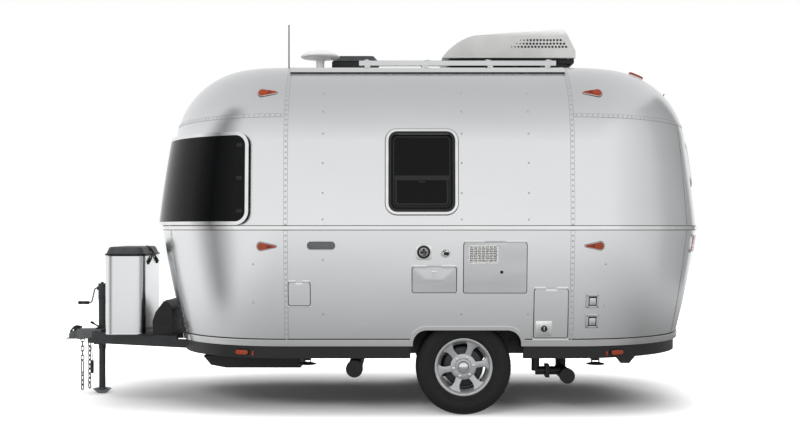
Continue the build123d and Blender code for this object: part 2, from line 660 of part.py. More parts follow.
# --------------------------------------------------- gas cover and battery box
COVER_FRONT_X, COVER_BACK_X = -2090.0, -1782.0
COVER_HALF_WIDTH = 300.0
COVER_TOP = 1088.0
COVER_LOW = TONGUE_TOP
COVER_WALL = 4.0
COVER_CORNER = 70.0
LID_RISE = 66.0
LID_WALL = 5.0
CYLINDER_RADIUS = 142.0
CYLINDER_Y = 147.0
CYLINDER_HEIGHT = 440.0
BATTERY_FRONT_X, BATTERY_BACK_X = -1710.0, -1560.0
BATTERY_HALF_WIDTH = 320.0
BATTERY_TOP = 745.0


def cover_plan(inset=0.0):
    length = COVER_BACK_X - COVER_FRONT_X - 2 * inset
    width = 2 * (COVER_HALF_WIDTH - inset)
    return RectangleRounded(length, width, COVER_CORNER - inset)


def gas_cover():
    """Bright wrap round the two gas cylinders, open on top."""
    middle_x = (COVER_FRONT_X + COVER_BACK_X) / 2
    wall = extrude(cover_plan() - cover_plan(COVER_WALL), COVER_TOP - COVER_LOW)
    wall = Pos(middle_x, 0, COVER_LOW) * wall
    tray = Pos(middle_x, 0, COVER_LOW) * extrude(cover_plan(COVER_WALL), COVER_WALL)
    hinge_z, hinge_x = COVER_TOP + PIN_GAP, COVER_FRONT_X - HATCH_BARREL
    cover = wall + tray
    for side in (-1, 1):
        knuckle = tube(hinge_x, side * 120, hinge_z, HATCH_BARREL, 0, 60, ALONG_Y)
        strap = Pos(hinge_x + 3, side * 120, hinge_z - 14) * Box(8, 60, 24)
        cover += knuckle + strap
    return cover + tube(hinge_x, 0, hinge_z, HATCH_PIN, 0, 240, ALONG_Y)


def gas_lid():
    """Domed lid, hinged along its front edge."""
    middle_x = (COVER_FRONT_X + COVER_BACK_X) / 2
    seat = COVER_TOP + CLEARANCE
    slope = LID_RISE * 0.45
    foot, crown = Pos(middle_x, 0, seat), Pos(middle_x, 0, seat + LID_RISE)
    dome = loft([foot * cover_plan(), crown * cover_plan(slope)])
    dome = fillet(dome.faces().sort_by(Axis.Z)[-1].edges(), LID_RISE * 0.35)
    low, high = cover_plan(LID_WALL), cover_plan(slope + LID_WALL)
    dome -= loft([Pos(middle_x, 0, seat - 1) * low, Pos(middle_x, 0, seat + LID_RISE - LID_WALL) * high])
    hinge_z, hinge_x = COVER_TOP + PIN_GAP, COVER_FRONT_X - HATCH_BARREL
    knuckle = tube(hinge_x, 0, hinge_z, HATCH_BARREL, 0, 176, ALONG_Y)
    leaf = Pos(hinge_x + 7, 0, hinge_z + 11) * Box(14, 176, 14)
    bore = tube(hinge_x, 0, hinge_z, HATCH_PIN + PIN_GAP, 0, 300, ALONG_Y)
    return dome + (knuckle + leaf - bore)


def gas_cylinders():
    """Two steel cylinders with their collars, standing in the cover."""
    base = COVER_LOW + COVER_WALL
    shoulder = 70.0
    outline = Polyline(
        (0, 12), (CYLINDER_RADIUS - 55, 12), (CYLINDER_RADIUS, 60), (CYLINDER_RADIUS, CYLINDER_HEIGHT - 90),
        (CYLINDER_RADIUS - shoulder, CYLINDER_HEIGHT - 30), (0, CYLINDER_HEIGHT - 20), close=True,
    )
    body = revolve(Plane.XZ * make_face(outline), Axis.Z)
    foot = tube(0, 0, 20, 100, 96, 40)
    collar = tube(0, 0, CYLINDER_HEIGHT - 5, 96, 92, 90) - Pos(90, 0, CYLINDER_HEIGHT) * Box(90, 110, 60)
    valve = Pos(0, 0, CYLINDER_HEIGHT) * Cylinder(14, 50)
    bottle = body + foot + collar + valve
    middle_x = (COVER_FRONT_X + COVER_BACK_X) / 2
    return [Pos(middle_x, side * CYLINDER_Y, base) * bottle for side in (-1, 1)]


def battery_box():
    """Sloped box behind the gas cover, on the drawbar."""
    outline = Polyline(
        (BATTERY_FRONT_X, COVER_LOW),
        (BATTERY_FRONT_X, BATTERY_TOP - 150),
        (BATTERY_FRONT_X + 22, BATTERY_TOP - 84),
        (BATTERY_FRONT_X + 84, BATTERY_TOP),
        (BATTERY_BACK_X - 34, BATTERY_TOP),
        (BATTERY_BACK_X, BATTERY_TOP - 60),
        (BATTERY_BACK_X, COVER_LOW),
        close=True,
    )
    box = Rot(90, 0, 0) * extrude(make_face(outline), BATTERY_HALF_WIDTH, both=True)
    return box - OUTER


# ------------------------------------------------------------- axle and wheels
AXLE_Z = TYRE_RADIUS
AXLE_BEAM = 80.0
AXLE_ARM = 150.0              # torsion arm, beam to spindle
AXLE_PLATE = 8.0
ARM_THICK = 28.0
SPINDLE_RADIUS = BORE_RADIUS - PIN_GAP
DRUM_RADIUS, DRUM_WIDTH = 142.0, 62.0
DRUM_START = -TYRE_WIDTH / 2 + 4.0
WHEEL_OFFSET = 12.0           # disc from the middle of the rim
SPOKES = 6
LUGS = 6
LUG_CIRCLE = 69.85
RIM_WIDTH = 150.0


def axle():
    """Square torsion beam under the rails, trailing arms and spindles."""
    plate_z = FRAME_TOP - FRAME_DEPTH
    beam_z = plate_z - AXLE_PLATE - AXLE_BEAM / 2
    drop = beam_z - AXLE_Z
    beam_x = WHEEL_X - sqrt(AXLE_ARM**2 - drop**2)
    arm_y = WHEEL_Y - TYRE_WIDTH / 2 - ARM_THICK / 2 - 12
    solid = Pos(beam_x, 0, beam_z) * Box(AXLE_BEAM, 2 * arm_y, AXLE_BEAM)
    arm_turn = degrees(atan2(drop, AXLE_ARM))
    arm = Rot(90, 0, 0) * extrude(SlotOverall(AXLE_ARM + 76, 76), ARM_THICK / 2, both=True)
    spindle_end = WHEEL_Y + WHEEL_OFFSET + 20
    spindle_start = arm_y - ARM_THICK / 2
    spindle_y = (spindle_start + spindle_end) / 2
    for side in (-1, 1):
        arm_at = Pos((beam_x + WHEEL_X) / 2, side * arm_y, (beam_z + AXLE_Z) / 2)
        solid += arm_at * Rot(0, arm_turn, 0) * arm
        spindle_length = spindle_end - spindle_start
        solid += tube(WHEEL_X, side * spindle_y, AXLE_Z, SPINDLE_RADIUS, 0, spindle_length, ALONG_Y)
        back_y = arm_y + ARM_THICK / 2 + 3
        solid += tube(WHEEL_X, side * back_y, AXLE_Z, DRUM_RADIUS - 8, 0, 6, ALONG_Y)
        plate = Pos(beam_x, side * RAIL_Y, plate_z - AXLE_PLATE / 2)
        solid += plate * Box(3 * AXLE_BEAM, RAIL_WIDTH, AXLE_PLATE)
    return solid


def tyre(side):
    """Road tyre as a revolved section, seated on its rim."""
    half = TYRE_WIDTH / 2
    tread_half = half - 22
    seat = RIM_RADIUS - 12
    bead, belly = (RIM_RADIUS + 8, RIM_WIDTH / 2 + 6), (RIM_RADIUS + 62, half)
    shoulder, edge = (TYRE_RADIUS - 14, tread_half + 8), (TYRE_RADIUS, tread_half - 4)
    inner = [(radius, -across) for radius, across in (bead, belly, shoulder, edge)]
    base_line = Polyline((seat, -RIM_WIDTH / 2 + 8), (seat, RIM_WIDTH / 2 - 8), bead)
    wall_up = ThreePointArc(bead, belly, shoulder)
    crown = Polyline(shoulder, edge, inner[3], inner[2])
    wall_down = ThreePointArc(inner[2], inner[1], inner[0])
    closing = Line(inner[0], (seat, -RIM_WIDTH / 2 + 8))
    section = make_face(base_line + wall_up + crown + wall_down + closing)
    ring = revolve(section, Axis.Y)
    return Pos(WHEEL_X, side * WHEEL_Y, AXLE_Z) * ring


def rim_barrel():
    """Revolved rim: a well between two seats, with a lip past each bead."""
    seat, lip = RIM_RADIUS - 12 - SEAT_GAP, RIM_RADIUS + 9
    bead = RIM_WIDTH / 2 - 8 + SEAT_GAP
    well = seat - 22
    outline = [(seat, -bead), (well, -bead + 26), (well, bead - 44), (seat, bead - 22), (seat, bead)]
    outline += [(lip - 3, bead + 14), (lip, bead + 17), (lip - 3, bead + 21), (seat - 8, bead + 14)]
    outline += [(seat - 8, bead - 22), (seat - 30, bead - 44), (seat - 30, -bead + 26), (seat - 8, -bead)]
    outline += [(seat - 8, -bead - 14), (lip - 3, -bead - 21), (lip, -bead - 17), (lip - 3, -bead - 14)]
    return revolve(make_face(Polyline(*outline, close=True)), Axis.Y)


def wheel(side):
    """Six-spoke alloy rim with its hub, drum, lug nuts and cap."""
    face_y = WHEEL_OFFSET + 14
    disc = tube(0, face_y, 0, RIM_RADIUS - 20, 0, 20, ALONG_Y)
    for index in range(SPOKES):
        angle = 360 / SPOKES * (index + 0.5)
        hole = Pos(0, face_y, 0) * Rot(0, angle, 0) * Pos(122, 0, 0) * Rot(90, 0, 0)
        disc -= hole * extrude(RectangleRounded(52, 74, 24), 30, both=True)
    hub = tube(0, face_y + 4, 0, HUB_RADIUS + 24, 0, 34, ALONG_Y)
    cap = tube(0, face_y + 36, 0, 38, 0, 36, ALONG_Y)
    drum_start = DRUM_START
    drum = tube(0, (drum_start + face_y) / 2, 0, DRUM_RADIUS - 34, 0, face_y - drum_start, ALONG_Y)
    drum += tube(0, drum_start + DRUM_WIDTH / 2, 0, DRUM_RADIUS, 0, DRUM_WIDTH, ALONG_Y)
    rim = rim_barrel() + disc + hub + cap + drum
    for index in range(LUGS):
        angle = radians(360 / LUGS * index)
        rim += tube(LUG_CIRCLE * cos(angle), face_y + 27, LUG_CIRCLE * sin(angle), 11, 0, 18, ALONG_Y)
    bore_end = WHEEL_OFFSET + 24
    rim -= tube(0, (drum_start + bore_end) / 2, 0, BORE_RADIUS, 0, bore_end - drum_start, ALONG_Y)
    if side < 0:
        rim = Rot(0, 0, 180) * rim
    return Pos(WHEEL_X, side * WHEEL_Y, AXLE_Z) * rim


# --------------------------------------------------------------- floor and belly
def wheel_box(side, grow=0.0, sheet=0.0):
    """Room for one wheel, from the sill in past its inner sidewall."""
    x_low, x_high = ARCH_LEFT - 20 - grow, ARCH_RIGHT + 20 + grow
    y_in = WHEEL_FACE_Y - TYRE_WIDTH - WELL_CLEAR - grow
    top = 2 * TYRE_RADIUS + WELL_CLEAR + grow
    block = Box(x_high - x_low, BODY_WIDTH, 2 * top)
    return Pos((x_low + x_high) / 2, side * (y_in + BODY_WIDTH / 2), 0) * block


def floor():
    """Floor deck and the dark sill that hangs from its edge."""
    base = LOWER_SECTIONS[-1]
    deck = extrude(make_face(plan_outline(base, -SKIRT_INSET)), FLOOR_THICK)
    deck = Pos(0, 0, -FLOOR_THICK) * deck
    rim = make_face(plan_outline(base, -SKIRT_INSET))
    rim -= make_face(plan_outline(base, -SKIRT_INSET - SKIRT_THICK))
    sill = Pos(0, 0, -SKIRT_DEPTH) * extrude(rim, SKIRT_DEPTH)
    for solid_beam in drawbar(hollow=False):
        sill -= solid_beam
    deck += sill
    for side in (-1, 1):
        deck -= wheel_box(side)
    return deck


def wheel_wells():
    """Sheet boxes inside the cabin over the wheels."""
    wells = []
    for side in (-1, 1):
        room = slab(BASE_Z, 2 * OVERALL_LENGTH)
        box = (wheel_box(side, WELL_SHEET) - wheel_box(side)) & INNER & room
        wells += box.solids()
    return wells


# --------------------------------------------------------------- under the floor
HOSE_TUBE_X, HOSE_TUBE_Z, HOSE_TUBE_RADIUS = -139.0, 326.0, 55.0
HOSE_TUBE_END_Y, HOSE_TUBE_FAR_Y = -1060.0, 520.0
PAN_FRONT_X, PAN_BACK_X = -1250.0, -535.0
PAN_HALF_WIDTH = 800.0
PAN_LOW = 300.0
WASTE_X, WASTE_Z, WASTE_RADIUS = 1340.0, 276.0, 45.0
WASTE_OUTLET_Y = -1050.0
WASTE_INNER_Y = -700.0        # where the main pipe starts, under the tank
VALVE_X = 1215.0
SKID_X = 1830.0


def belly_pan():
    """Black pan that closes the tanks between and beside the rails at the front."""
    low_rise = 60.0
    outline = Polyline(
        (PAN_FRONT_X, SILL_LOW),
        (PAN_FRONT_X + 70, PAN_LOW + low_rise / 3),
        (PAN_FRONT_X + 180, PAN_LOW),
        (PAN_BACK_X, PAN_LOW),
        (PAN_BACK_X, SILL_LOW),
        close=True,
    )
    block = Rot(90, 0, 0) * extrude(make_face(outline), PAN_HALF_WIDTH, both=True)
    return block & slab(0, FRAME_TOP - FRAME_DEPTH - SEAT_GAP)


def hose_tube():
    """Storage tube for the waste hose, across the trailer, with end caps."""
    length = HOSE_TUBE_FAR_Y - HOSE_TUBE_END_Y
    middle_y = (HOSE_TUBE_FAR_Y + HOSE_TUBE_END_Y) / 2
    pipe = tube(HOSE_TUBE_X, middle_y, HOSE_TUBE_Z, HOSE_TUBE_RADIUS - 4, 0, length - 40, ALONG_Y)
    caps = Part()
    for y in (HOSE_TUBE_END_Y, HOSE_TUBE_FAR_Y):
        caps += tube(HOSE_TUBE_X, y, HOSE_TUBE_Z, HOSE_TUBE_RADIUS + 4, 0, 44, ALONG_Y)
    hangers = Part()
    drop = FRAME_TOP - FRAME_DEPTH - HOSE_TUBE_Z
    for side in (-1, 1):
        if side * RAIL_Y < HOSE_TUBE_FAR_Y:
            hangers += Pos(HOSE_TUBE_X, side * RAIL_Y, HOSE_TUBE_Z + drop / 2) * Box(30, 40, drop)
    return pipe + caps + hangers


def waste_pipes():
    """Tank valves, the pipe out to the street side and its capped outlet."""
    outlet = tube(WASTE_X, WASTE_OUTLET_Y, WASTE_Z, WASTE_RADIUS + 8, 0, 42, ALONG_Y)
    main_middle, main_length = (WASTE_OUTLET_Y + WASTE_INNER_Y) / 2, WASTE_INNER_Y - WASTE_OUTLET_Y
    main = tube(WASTE_X, main_middle, WASTE_Z, WASTE_RADIUS, 0, main_length, ALONG_Y)
    link = tube((WASTE_X + VALVE_X) / 2 - 40, -930, WASTE_Z + 22, 30, 0, WASTE_X - VALVE_X + 80, ALONG_X)
    rise = (FRAME_TOP - WASTE_Z) / 2
    pipes = outlet + main + link
    pipes += tube(WASTE_X, -740, WASTE_Z + rise, WASTE_RADIUS - 8, 0, 2 * rise)
    pipes += Pos(VALVE_X, -930, WASTE_Z + 22) * Box(26, 100, 90)
    pipes += tube(VALVE_X - 80, -930, WASTE_Z + rise + 11, 28, 0, 2 * rise - 22)
    return pipes


STABILISERS = (               # place, pivot x, side
    dict(name="front_left", x=-473.0, side=-1),
    dict(name="front_right", x=-473.0, side=1),
    dict(name="rear_left", x=1546.0, side=-1),
    dict(name="rear_right", x=1546.0, side=1),
)
STABILISER_Z = 388.0
STABILISER_PIVOT_Y = 720.0
STABILISER_LEG = 280.0        # pivot to the pin of the pad
STABILISER_WIDTH = 36.0
STABILISER_DEPTH = 24.0
PAD_RADIUS = 66.0
PAD_DROP = 38.0               # pin of the pad to its underside
CHEEK_THICK = 5.0


def stabiliser_sides(shape, row):
    """Put a stabiliser piece, drawn on the kerb side at X = 0, in its place."""
    placed = Pos(row["x"], 0, STABILISER_Z) * shape
    return placed if row["side"] > 0 else mirror(placed, Plane.XZ)


def stabiliser_leg(row):
    """Swing-down leg, folded up level under the sill."""
    y_in, y_out = STABILISER_PIVOT_Y, STABILISER_PIVOT_Y + STABILISER_LEG
    leg = Pos(0, (y_in + y_out) / 2, 0) * Box(STABILISER_WIDTH, y_out - y_in, STABILISER_DEPTH)
    for y in (y_in, y_out):
        leg += tube(0, y, 0, STABILISER_DEPTH / 2, 0, STABILISER_WIDTH, ALONG_X)
        leg -= tube(0, y, 0, HINGE_RADIUS + PIN_GAP, 0, 2 * STABILISER_WIDTH, ALONG_X)
    return stabiliser_sides(leg, row)


def stabiliser_pad(row):
    """Round foot on the end of a leg, with its two ears and pin."""
    y = STABILISER_PIVOT_Y + STABILISER_LEG
    outline = Polyline(
        (0, -PAD_DROP),
        (PAD_RADIUS - 6, -PAD_DROP),
        (PAD_RADIUS, -PAD_DROP + 6),
        (24, -PAD_DROP + 16),
        (0, -PAD_DROP + 16),
        close=True,
    )
    pad = Pos(0, y, 0) * revolve(Plane.XZ * make_face(outline), Axis.Z)
    ear_x = STABILISER_WIDTH / 2 + CLEARANCE + CHEEK_THICK / 2
    for way in (-1, 1):
        pad += Pos(way * ear_x, y, -PAD_DROP / 2 + 8) * Box(CHEEK_THICK, 26, PAD_DROP - 8)
    pad += tube(0, y, 0, HINGE_RADIUS, 0, 2 * ear_x + CHEEK_THICK, ALONG_X)
    return stabiliser_sides(pad, row)


def stabiliser_brackets():
    """Pivot cheeks and pins bolted under the deck for the four legs."""
    rise = FRAME_TOP - STABILISER_Z
    cheek_x = STABILISER_WIDTH / 2 + CLEARANCE + CHEEK_THICK / 2
    bracket = Pos(0, STABILISER_PIVOT_Y, rise - 4) * Box(2 * cheek_x + 30, 110, 8)
    bracket += tube(0, STABILISER_PIVOT_Y, 0, HINGE_RADIUS, 0, 2 * cheek_x + CHEEK_THICK, ALONG_X)
    for way in (-1, 1):
        bracket += Pos(way * cheek_x, STABILISER_PIVOT_Y, rise / 2 - 9) * Box(CHEEK_THICK, 56, rise + 18)
    return [stabiliser_sides(bracket, row) for row in STABILISERS]


STEP_X = DOOR_HINGE_X + DOOR_WIDTH / 2
STEP_WIDTH = 470.0
STEP_DEPTH = 220.0
STEP_THICK = 26.0
STEP_PIVOT_Y, STEP_PIVOT_Z = 1000.0, 402.0
STEP_ARM = 175.0
STEP_ARM_WIDTH, STEP_ARM_THICK = 30.0, 6.0
STEP_BRACKET = 8.0


def step_arms():
    """Swing arms of the entrance step with their two cross pins, folded in."""
    arm_x = STEP_WIDTH / 2 + CLEARANCE + STEP_ARM_THICK / 2
    arms = Part()
    for way in (-1, 1):
        flat = Box(STEP_ARM_THICK, STEP_ARM, STEP_ARM_WIDTH)
        arms += Pos(way * arm_x, -STEP_ARM / 2, 0) * flat
        for y in (0, -STEP_ARM):
            arms += tube(way * arm_x, y, 0, STEP_ARM_WIDTH / 2, 0, STEP_ARM_THICK, ALONG_X)
    arms += tube(0, -STEP_ARM, 0, HINGE_RADIUS, 0, 2 * arm_x, ALONG_X)
    arms -= tube(0, 0, 0, HINGE_RADIUS + PIN_GAP, 0, 4 * arm_x, ALONG_X)
    return Pos(STEP_X, STEP_PIVOT_Y, STEP_PIVOT_Z) * arms


def step_tread():
    """Tread that hangs level on the far pin of its arms."""
    tread = Box(STEP_WIDTH, STEP_DEPTH, STEP_THICK)
    tread -= Pos(0, 0, -5) * Box(STEP_WIDTH - 12, STEP_DEPTH - 12, STEP_THICK)
    sleeve = Box(STEP_WIDTH, 2 * HINGE_RADIUS + 12, STEP_THICK)
    tread += sleeve - tube(0, 0, 0, HINGE_RADIUS + PIN_GAP, 0, 2 * STEP_WIDTH, ALONG_X)
    tread -= tube(0, 0, 0, HINGE_RADIUS + PIN_GAP, 0, 2 * STEP_WIDTH, ALONG_X)
    return Pos(STEP_X, STEP_PIVOT_Y - STEP_ARM, STEP_PIVOT_Z) * tread


def step_brackets():
    """Hangers and cross pin that carry the step under the deck."""
    bracket_x = STEP_WIDTH / 2 + 2 * CLEARANCE + STEP_ARM_THICK + STEP_BRACKET / 2
    rise = FRAME_TOP - STEP_PIVOT_Z
    brackets = tube(0, 0, 0, HINGE_RADIUS, 0, 2 * bracket_x + STEP_BRACKET, ALONG_X)
    for way in (-1, 1):
        brackets += Pos(way * bracket_x, 0, rise / 2 - 10) * Box(STEP_BRACKET, 60, rise + 20)
    return Pos(STEP_X, STEP_PIVOT_Y, STEP_PIVOT_Z) * brackets


def rear_skids():
    """Two skid plates under the tail of the long rails."""
    skids = []
    for side in (-1, 1):
        outline = Polyline((-92, 0), (92, 0), (30, -74), (-30, -74), close=True)
        plate = Rot(90, 0, 0) * extrude(make_face(outline), 18, both=True)
        skids.append(Pos(SKID_X, side * RAIL_Y, FRAME_TOP - FRAME_DEPTH) * plate)
    return skids


# ---------------------------------------------------------------------- roof gear
AC_FRONT_X, AC_BACK_X = 498.0, 1512.0
AC_HALF_WIDTH = 350.0
AC_TOP = 2822.0
AC_LOW = 2598.0               # lower edge of the shroud, over its base
AC_EDGE = 60.0
AC_FOOT = 22.0
VENT_X, VENT_SIZE = -170.0, 360.0
VENT_CURB, VENT_LID = 92.0, 44.0
VENT_HINGE_GAP = 1.5
PANEL_FRONT_X, PANEL_BACK_X = -120.0, 1314.0
PANEL_Y, PANEL_WIDTH = -538.0, 326.0
PANEL_THICK = 35.0
PANEL_OFF = 28.0
DISH_X, DISH_Y, DISH_Z, DISH_RADIUS = -428.0, -352.0, 2594.0, 147.0
WHIP_X, WHIP_Y, WHIP_TOP = -676.0, -250.0, 2868.0


def air_conditioner():
    """Long shroud with a rounded nose, on its dark base pan."""
    nose = (AC_FRONT_X, AC_LOW)
    brow = (AC_FRONT_X + 245, AC_TOP - 54)
    back = Polyline(
        brow, (AC_BACK_X - 85, AC_TOP), (AC_BACK_X, AC_LOW + 52), (AC_BACK_X, AC_LOW), nose
    )
    front = ThreePointArc(nose, (AC_FRONT_X + 95, AC_TOP - 126), brow)
    side_view = Rot(90, 0, 0) * extrude(make_face(back + front), AC_HALF_WIDTH, both=True)
    end_view = Plane.YZ * RectangleRounded(2 * AC_HALF_WIDTH, 2 * (AC_TOP - AC_LOW), AC_EDGE)
    shroud = side_view & Pos(0, 0, AC_LOW) * extrude(end_view, AC_BACK_X, both=True)
    base_low = ROOF_Z - AC_FOOT
    base_length = AC_BACK_X - AC_FRONT_X - 110
    base = Box(base_length, 2 * AC_HALF_WIDTH - 80, AC_LOW - base_low)
    return shroud, Pos((AC_FRONT_X + AC_BACK_X) / 2, 0, (AC_LOW + base_low) / 2) * base - OUTER


def roof_vent():
    """Curb with its frame, and the smoked lid that lifts from its kerb-side edge."""
    hinge_y = VENT_SIZE / 2 + HATCH_BARREL + VENT_HINGE_GAP
    hinge_z = ROOF_Z + VENT_CURB + HATCH_BARREL
    curb = Box(VENT_SIZE, VENT_SIZE, 2 * VENT_CURB) - Box(VENT_SIZE - 60, VENT_SIZE - 60, 3 * VENT_CURB)
    curb = (Pos(VENT_X, 0, ROOF_Z) * curb) - OUTER
    for way in (-1, 1):
        strap = Pos(VENT_X + way * 120, hinge_y - 4, hinge_z - 12) * Box(60, 10, 20)
        curb += strap + tube(VENT_X + way * 120, hinge_y, hinge_z, HATCH_BARREL, 0, 60, ALONG_X)
    curb += tube(VENT_X, hinge_y, hinge_z, HATCH_PIN, 0, 240, ALONG_X)
    seat = Pos(VENT_X, 0, ROOF_Z + VENT_CURB + CLEARANCE)
    def rounded(size, corner, z):
        return Pos(0, 0, z) * RectangleRounded(size, size, corner)

    lid = loft([rounded(VENT_SIZE, 40, 0), rounded(VENT_SIZE - 70, 30, VENT_LID)])
    lid -= loft([rounded(VENT_SIZE - 14, 34, -2), rounded(VENT_SIZE - 84, 24, VENT_LID - 6)])
    lid = seat * lid
    leaf = Pos(VENT_X, hinge_y - 9, hinge_z + 7) * Box(170, 18, 10)
    knuckle = tube(VENT_X, hinge_y, hinge_z, HATCH_BARREL, 0, 170, ALONG_X)
    bore = tube(VENT_X, hinge_y, hinge_z, HATCH_PIN + PIN_GAP, 0, 300, ALONG_X)
    return curb, lid + (leaf + knuckle - bore)


def solar_panel():
    """Long framed panel on brackets over the street-side roof."""
    length = PANEL_BACK_X - PANEL_FRONT_X
    tilt = 7.0
    edge_y = PANEL_Y - PANEL_WIDTH / 2
    z = ROOF_Z - 24.0 + PANEL_OFF
    panel = Pos((PANEL_FRONT_X + PANEL_BACK_X) / 2, PANEL_Y, z + PANEL_THICK / 2) * Rot(tilt, 0, 0)
    body = panel * Box(length, PANEL_WIDTH, PANEL_THICK)
    feet = Part()
    first, last = PANEL_FRONT_X + 60, PANEL_BACK_X - 60
    for x in (first, PANEL_FRONT_X + length / 3, PANEL_FRONT_X + 2 * length / 3, last):
        for y in (edge_y + 22, PANEL_Y + PANEL_WIDTH / 2 - 22):
            feet += Pos(x, y, z - 30) * Box(40, 30, 150)
    above = panel * Pos(0, 0, PANEL_THICK) * Box(2 * length, 3 * PANEL_WIDTH, PANEL_THICK)
    return body + (feet - OUTER - above)


def antennas():
    """Dome television aerial, whip aerial and the small rear aerial."""
    rim, rise = 14.0, 42.0
    cap_radius = (DISH_RADIUS**2 + rise**2) / (2 * rise)
    cap = Pos(0, 0, rim + rise - cap_radius) * Sphere(cap_radius)
    cap &= Pos(0, 0, rim + rise / 2) * Cylinder(DISH_RADIUS, rise)
    dome = Pos(DISH_X, DISH_Y, DISH_Z) * (cap + Pos(0, 0, rim / 2) * Cylinder(DISH_RADIUS, rim))
    stem_low = ROOF_Z - 60
    dome += Pos(DISH_X, DISH_Y, (stem_low + DISH_Z) / 2 + 5) * Cylinder(31, DISH_Z - stem_low + 10)
    whip_low = ROOF_Z - 30
    whip = Pos(WHIP_X, WHIP_Y, (whip_low + WHIP_TOP) / 2) * Cylinder(5, WHIP_TOP - whip_low)
    whip += Pos(WHIP_X, WHIP_Y, whip_low + 26) * Cylinder(22, 40)
    rear = Pos(2130, 0, 2400) * Rot(0, 35, 0) * Cylinder(6, 120)
    return [piece - OUTER for piece in (dome, whip, rear)]


# -------------------------------------------------------------------------- lamps
MARKERS = (                   # x, z, end cap it sits on
    dict(x=-745.0, z=2246.0),
    dict(x=1520.0, z=2246.0),
    dict(x=-735.0, z=1178.0),
    dict(x=1510.0, z=1182.0),
)
MARKER_LENGTH, MARKER_HEIGHT = 124.0, 46.0
REAR_MARKER_Z = 2330.0
TAIL_LAMPS = (dict(turn=27.0, z=1190.0), dict(turn=-27.0, z=1190.0))
TAIL_WIDTH, TAIL_HEIGHT = 200.0, 140.0
PLATE_LAMP_Z = 1215.0


def marker_lamps():
    """Clearance lamps on both walls and along the rear roof edge."""
    lamps = []
    marker = (MARKER_LENGTH, MARKER_HEIGHT, MARKER_HEIGHT / 2 - 1)
    for row in MARKERS:
        for side in (-1, 1):
            block = through_side(side, row["x"], row["z"], *marker)
            lamps += [piece for piece in (PROUD_SKIN & block).solids() if piece.center().Y * side > 0]
    for turn in (-14.0, 0.0, 14.0):
        block = through_end(SEAM_REAR + REAR_REACH, 0, REAR_MARKER_Z, *marker, turn)
        lamps += (PROUD_SKIN & block).solids()
    return lamps


def tail_lamps():
    """Rear lamp clusters and the lamp over the number plate."""
    lamps = []
    for row in TAIL_LAMPS:
        block = through_end(SEAM_REAR + REAR_REACH, 0, row["z"], TAIL_WIDTH, TAIL_HEIGHT, 40, row["turn"])
        lamps += (PROUD_SKIN & block).solids()
    tail_x = SEAM_REAR + REAR_REACH
    plate = through_end(tail_x, 0, PLATE_LAMP_Z, 330, 120, 16)
    unit = (PROUD_SKIN & plate) & Pos(OVERALL_LENGTH / 2, 0, 0) * Box(9999, 9999, 9999)
    lamps += unit.solids()
    return lamps


# --------------------------------------------------------------- street-side fittings
FITTINGS = (                  # middle x and z, length, height, corner
    dict(x=340.0, z=1140.0, length=112.0, height=112.0, corner=18.0),
    dict(x=489.0, z=1137.0, length=73.0, height=73.0, corner=36.0),
    dict(x=1500.0, z=802.0, length=90.0, height=96.0, corner=6.0),
    dict(x=1500.0, z=663.0, length=90.0, height=96.0, corner=6.0),
)


def side_fittings():
    """Power and signal inlets and the two furnace vents."""
    pieces = []
    for row in FITTINGS:
        block = through_side(-1, row["x"], row["z"], row["length"], row["height"], row["corner"])
        pieces += [piece for piece in (PROUD_SKIN & block).solids() if piece.center().Y < 0]
    return pieces


# ------------------------------------------------------------------------- export
def compound(pieces):
    if not isinstance(pieces, list):
        return pieces
    return Compound(children=[solid for piece in pieces for solid in piece.solids()])


def every_part():
    """Name and shape of each sub-part, ready to write."""
    front, middle, rear = shell_pieces()
    frames, panes = windows()
    guard_frame, guard_pane = window_guard()
    door, door_frame, door_glass = entrance_door()
    belt_ring, base_ring, arches = mouldings()
    shroud, ac_base = air_conditioner()
    curb, vent_lid = roof_vent()
    yield "shell_front", front
    yield "shell_middle", middle
    yield "shell_rear", rear
    yield "window_frames", frames
    yield "window_glass", panes
    yield "window_guard_frame", guard_frame
    yield "window_guard_pane", guard_pane
    yield "entrance_door", door
    yield "door_window_frame", door_frame
    yield "door_glass", door_glass
    leaves = [door_hinge_leaves()] + [hatch_hinge_leaves(row) for row in HATCHES]
    yield "hinge_leaves", leaves
    for row in HATCHES:
        yield row["name"], hatch_door(row)
    yield "mouldings", belt_ring.solids() + base_ring.solids() + arches + roof_rails()
    yield "chassis_frame", chassis()
    yield "coupler", coupler()
    yield "coupler_latch", coupler_latch()
    yield "safety_chains", safety_chains()
    yield "jack_tube", jack_tube()
    yield "jack_leg", jack_leg()
    yield "jack_crank", jack_crank()
    yield "gas_cover", gas_cover()
    yield "gas_lid", gas_lid()
    yield "gas_cylinders", gas_cylinders()
    yield "battery_box", battery_box()
    yield "floor", floor()
    yield "wheel_wells", wheel_wells()
    yield "axle", axle()
    for name, side in (("left", -1), ("right", 1)):
        yield "tyre_" + name, tyre(side)
        yield "wheel_" + name, wheel(side)
    yield "belly_pan", belly_pan()
    yield "waste_plumbing", hose_tube().solids() + waste_pipes().solids()
    for row in STABILISERS:
        yield "stabiliser_" + row["name"], stabiliser_leg(row)
        yield "stabiliser_pad_" + row["name"], stabiliser_pad(row)
    yield "under_brackets", stabiliser_brackets() + [step_brackets()] + rear_skids()
    yield "step_arms", step_arms()
    yield "step_tread", step_tread()
    yield "air_conditioner", shroud
    yield "air_conditioner_base", ac_base
    yield "roof_vent_curb", curb
    yield "roof_vent_lid", vent_lid
    yield "solar_panel", solar_panel()
    yield "antennas", antennas()
    yield "lamps", marker_lamps() + tail_lamps()
    yield "side_fittings", side_fittings()


os.makedirs("parts", exist_ok=True)
for node, shape in every_part():
    export_step(compound(shape), "parts/" + node + ".step")
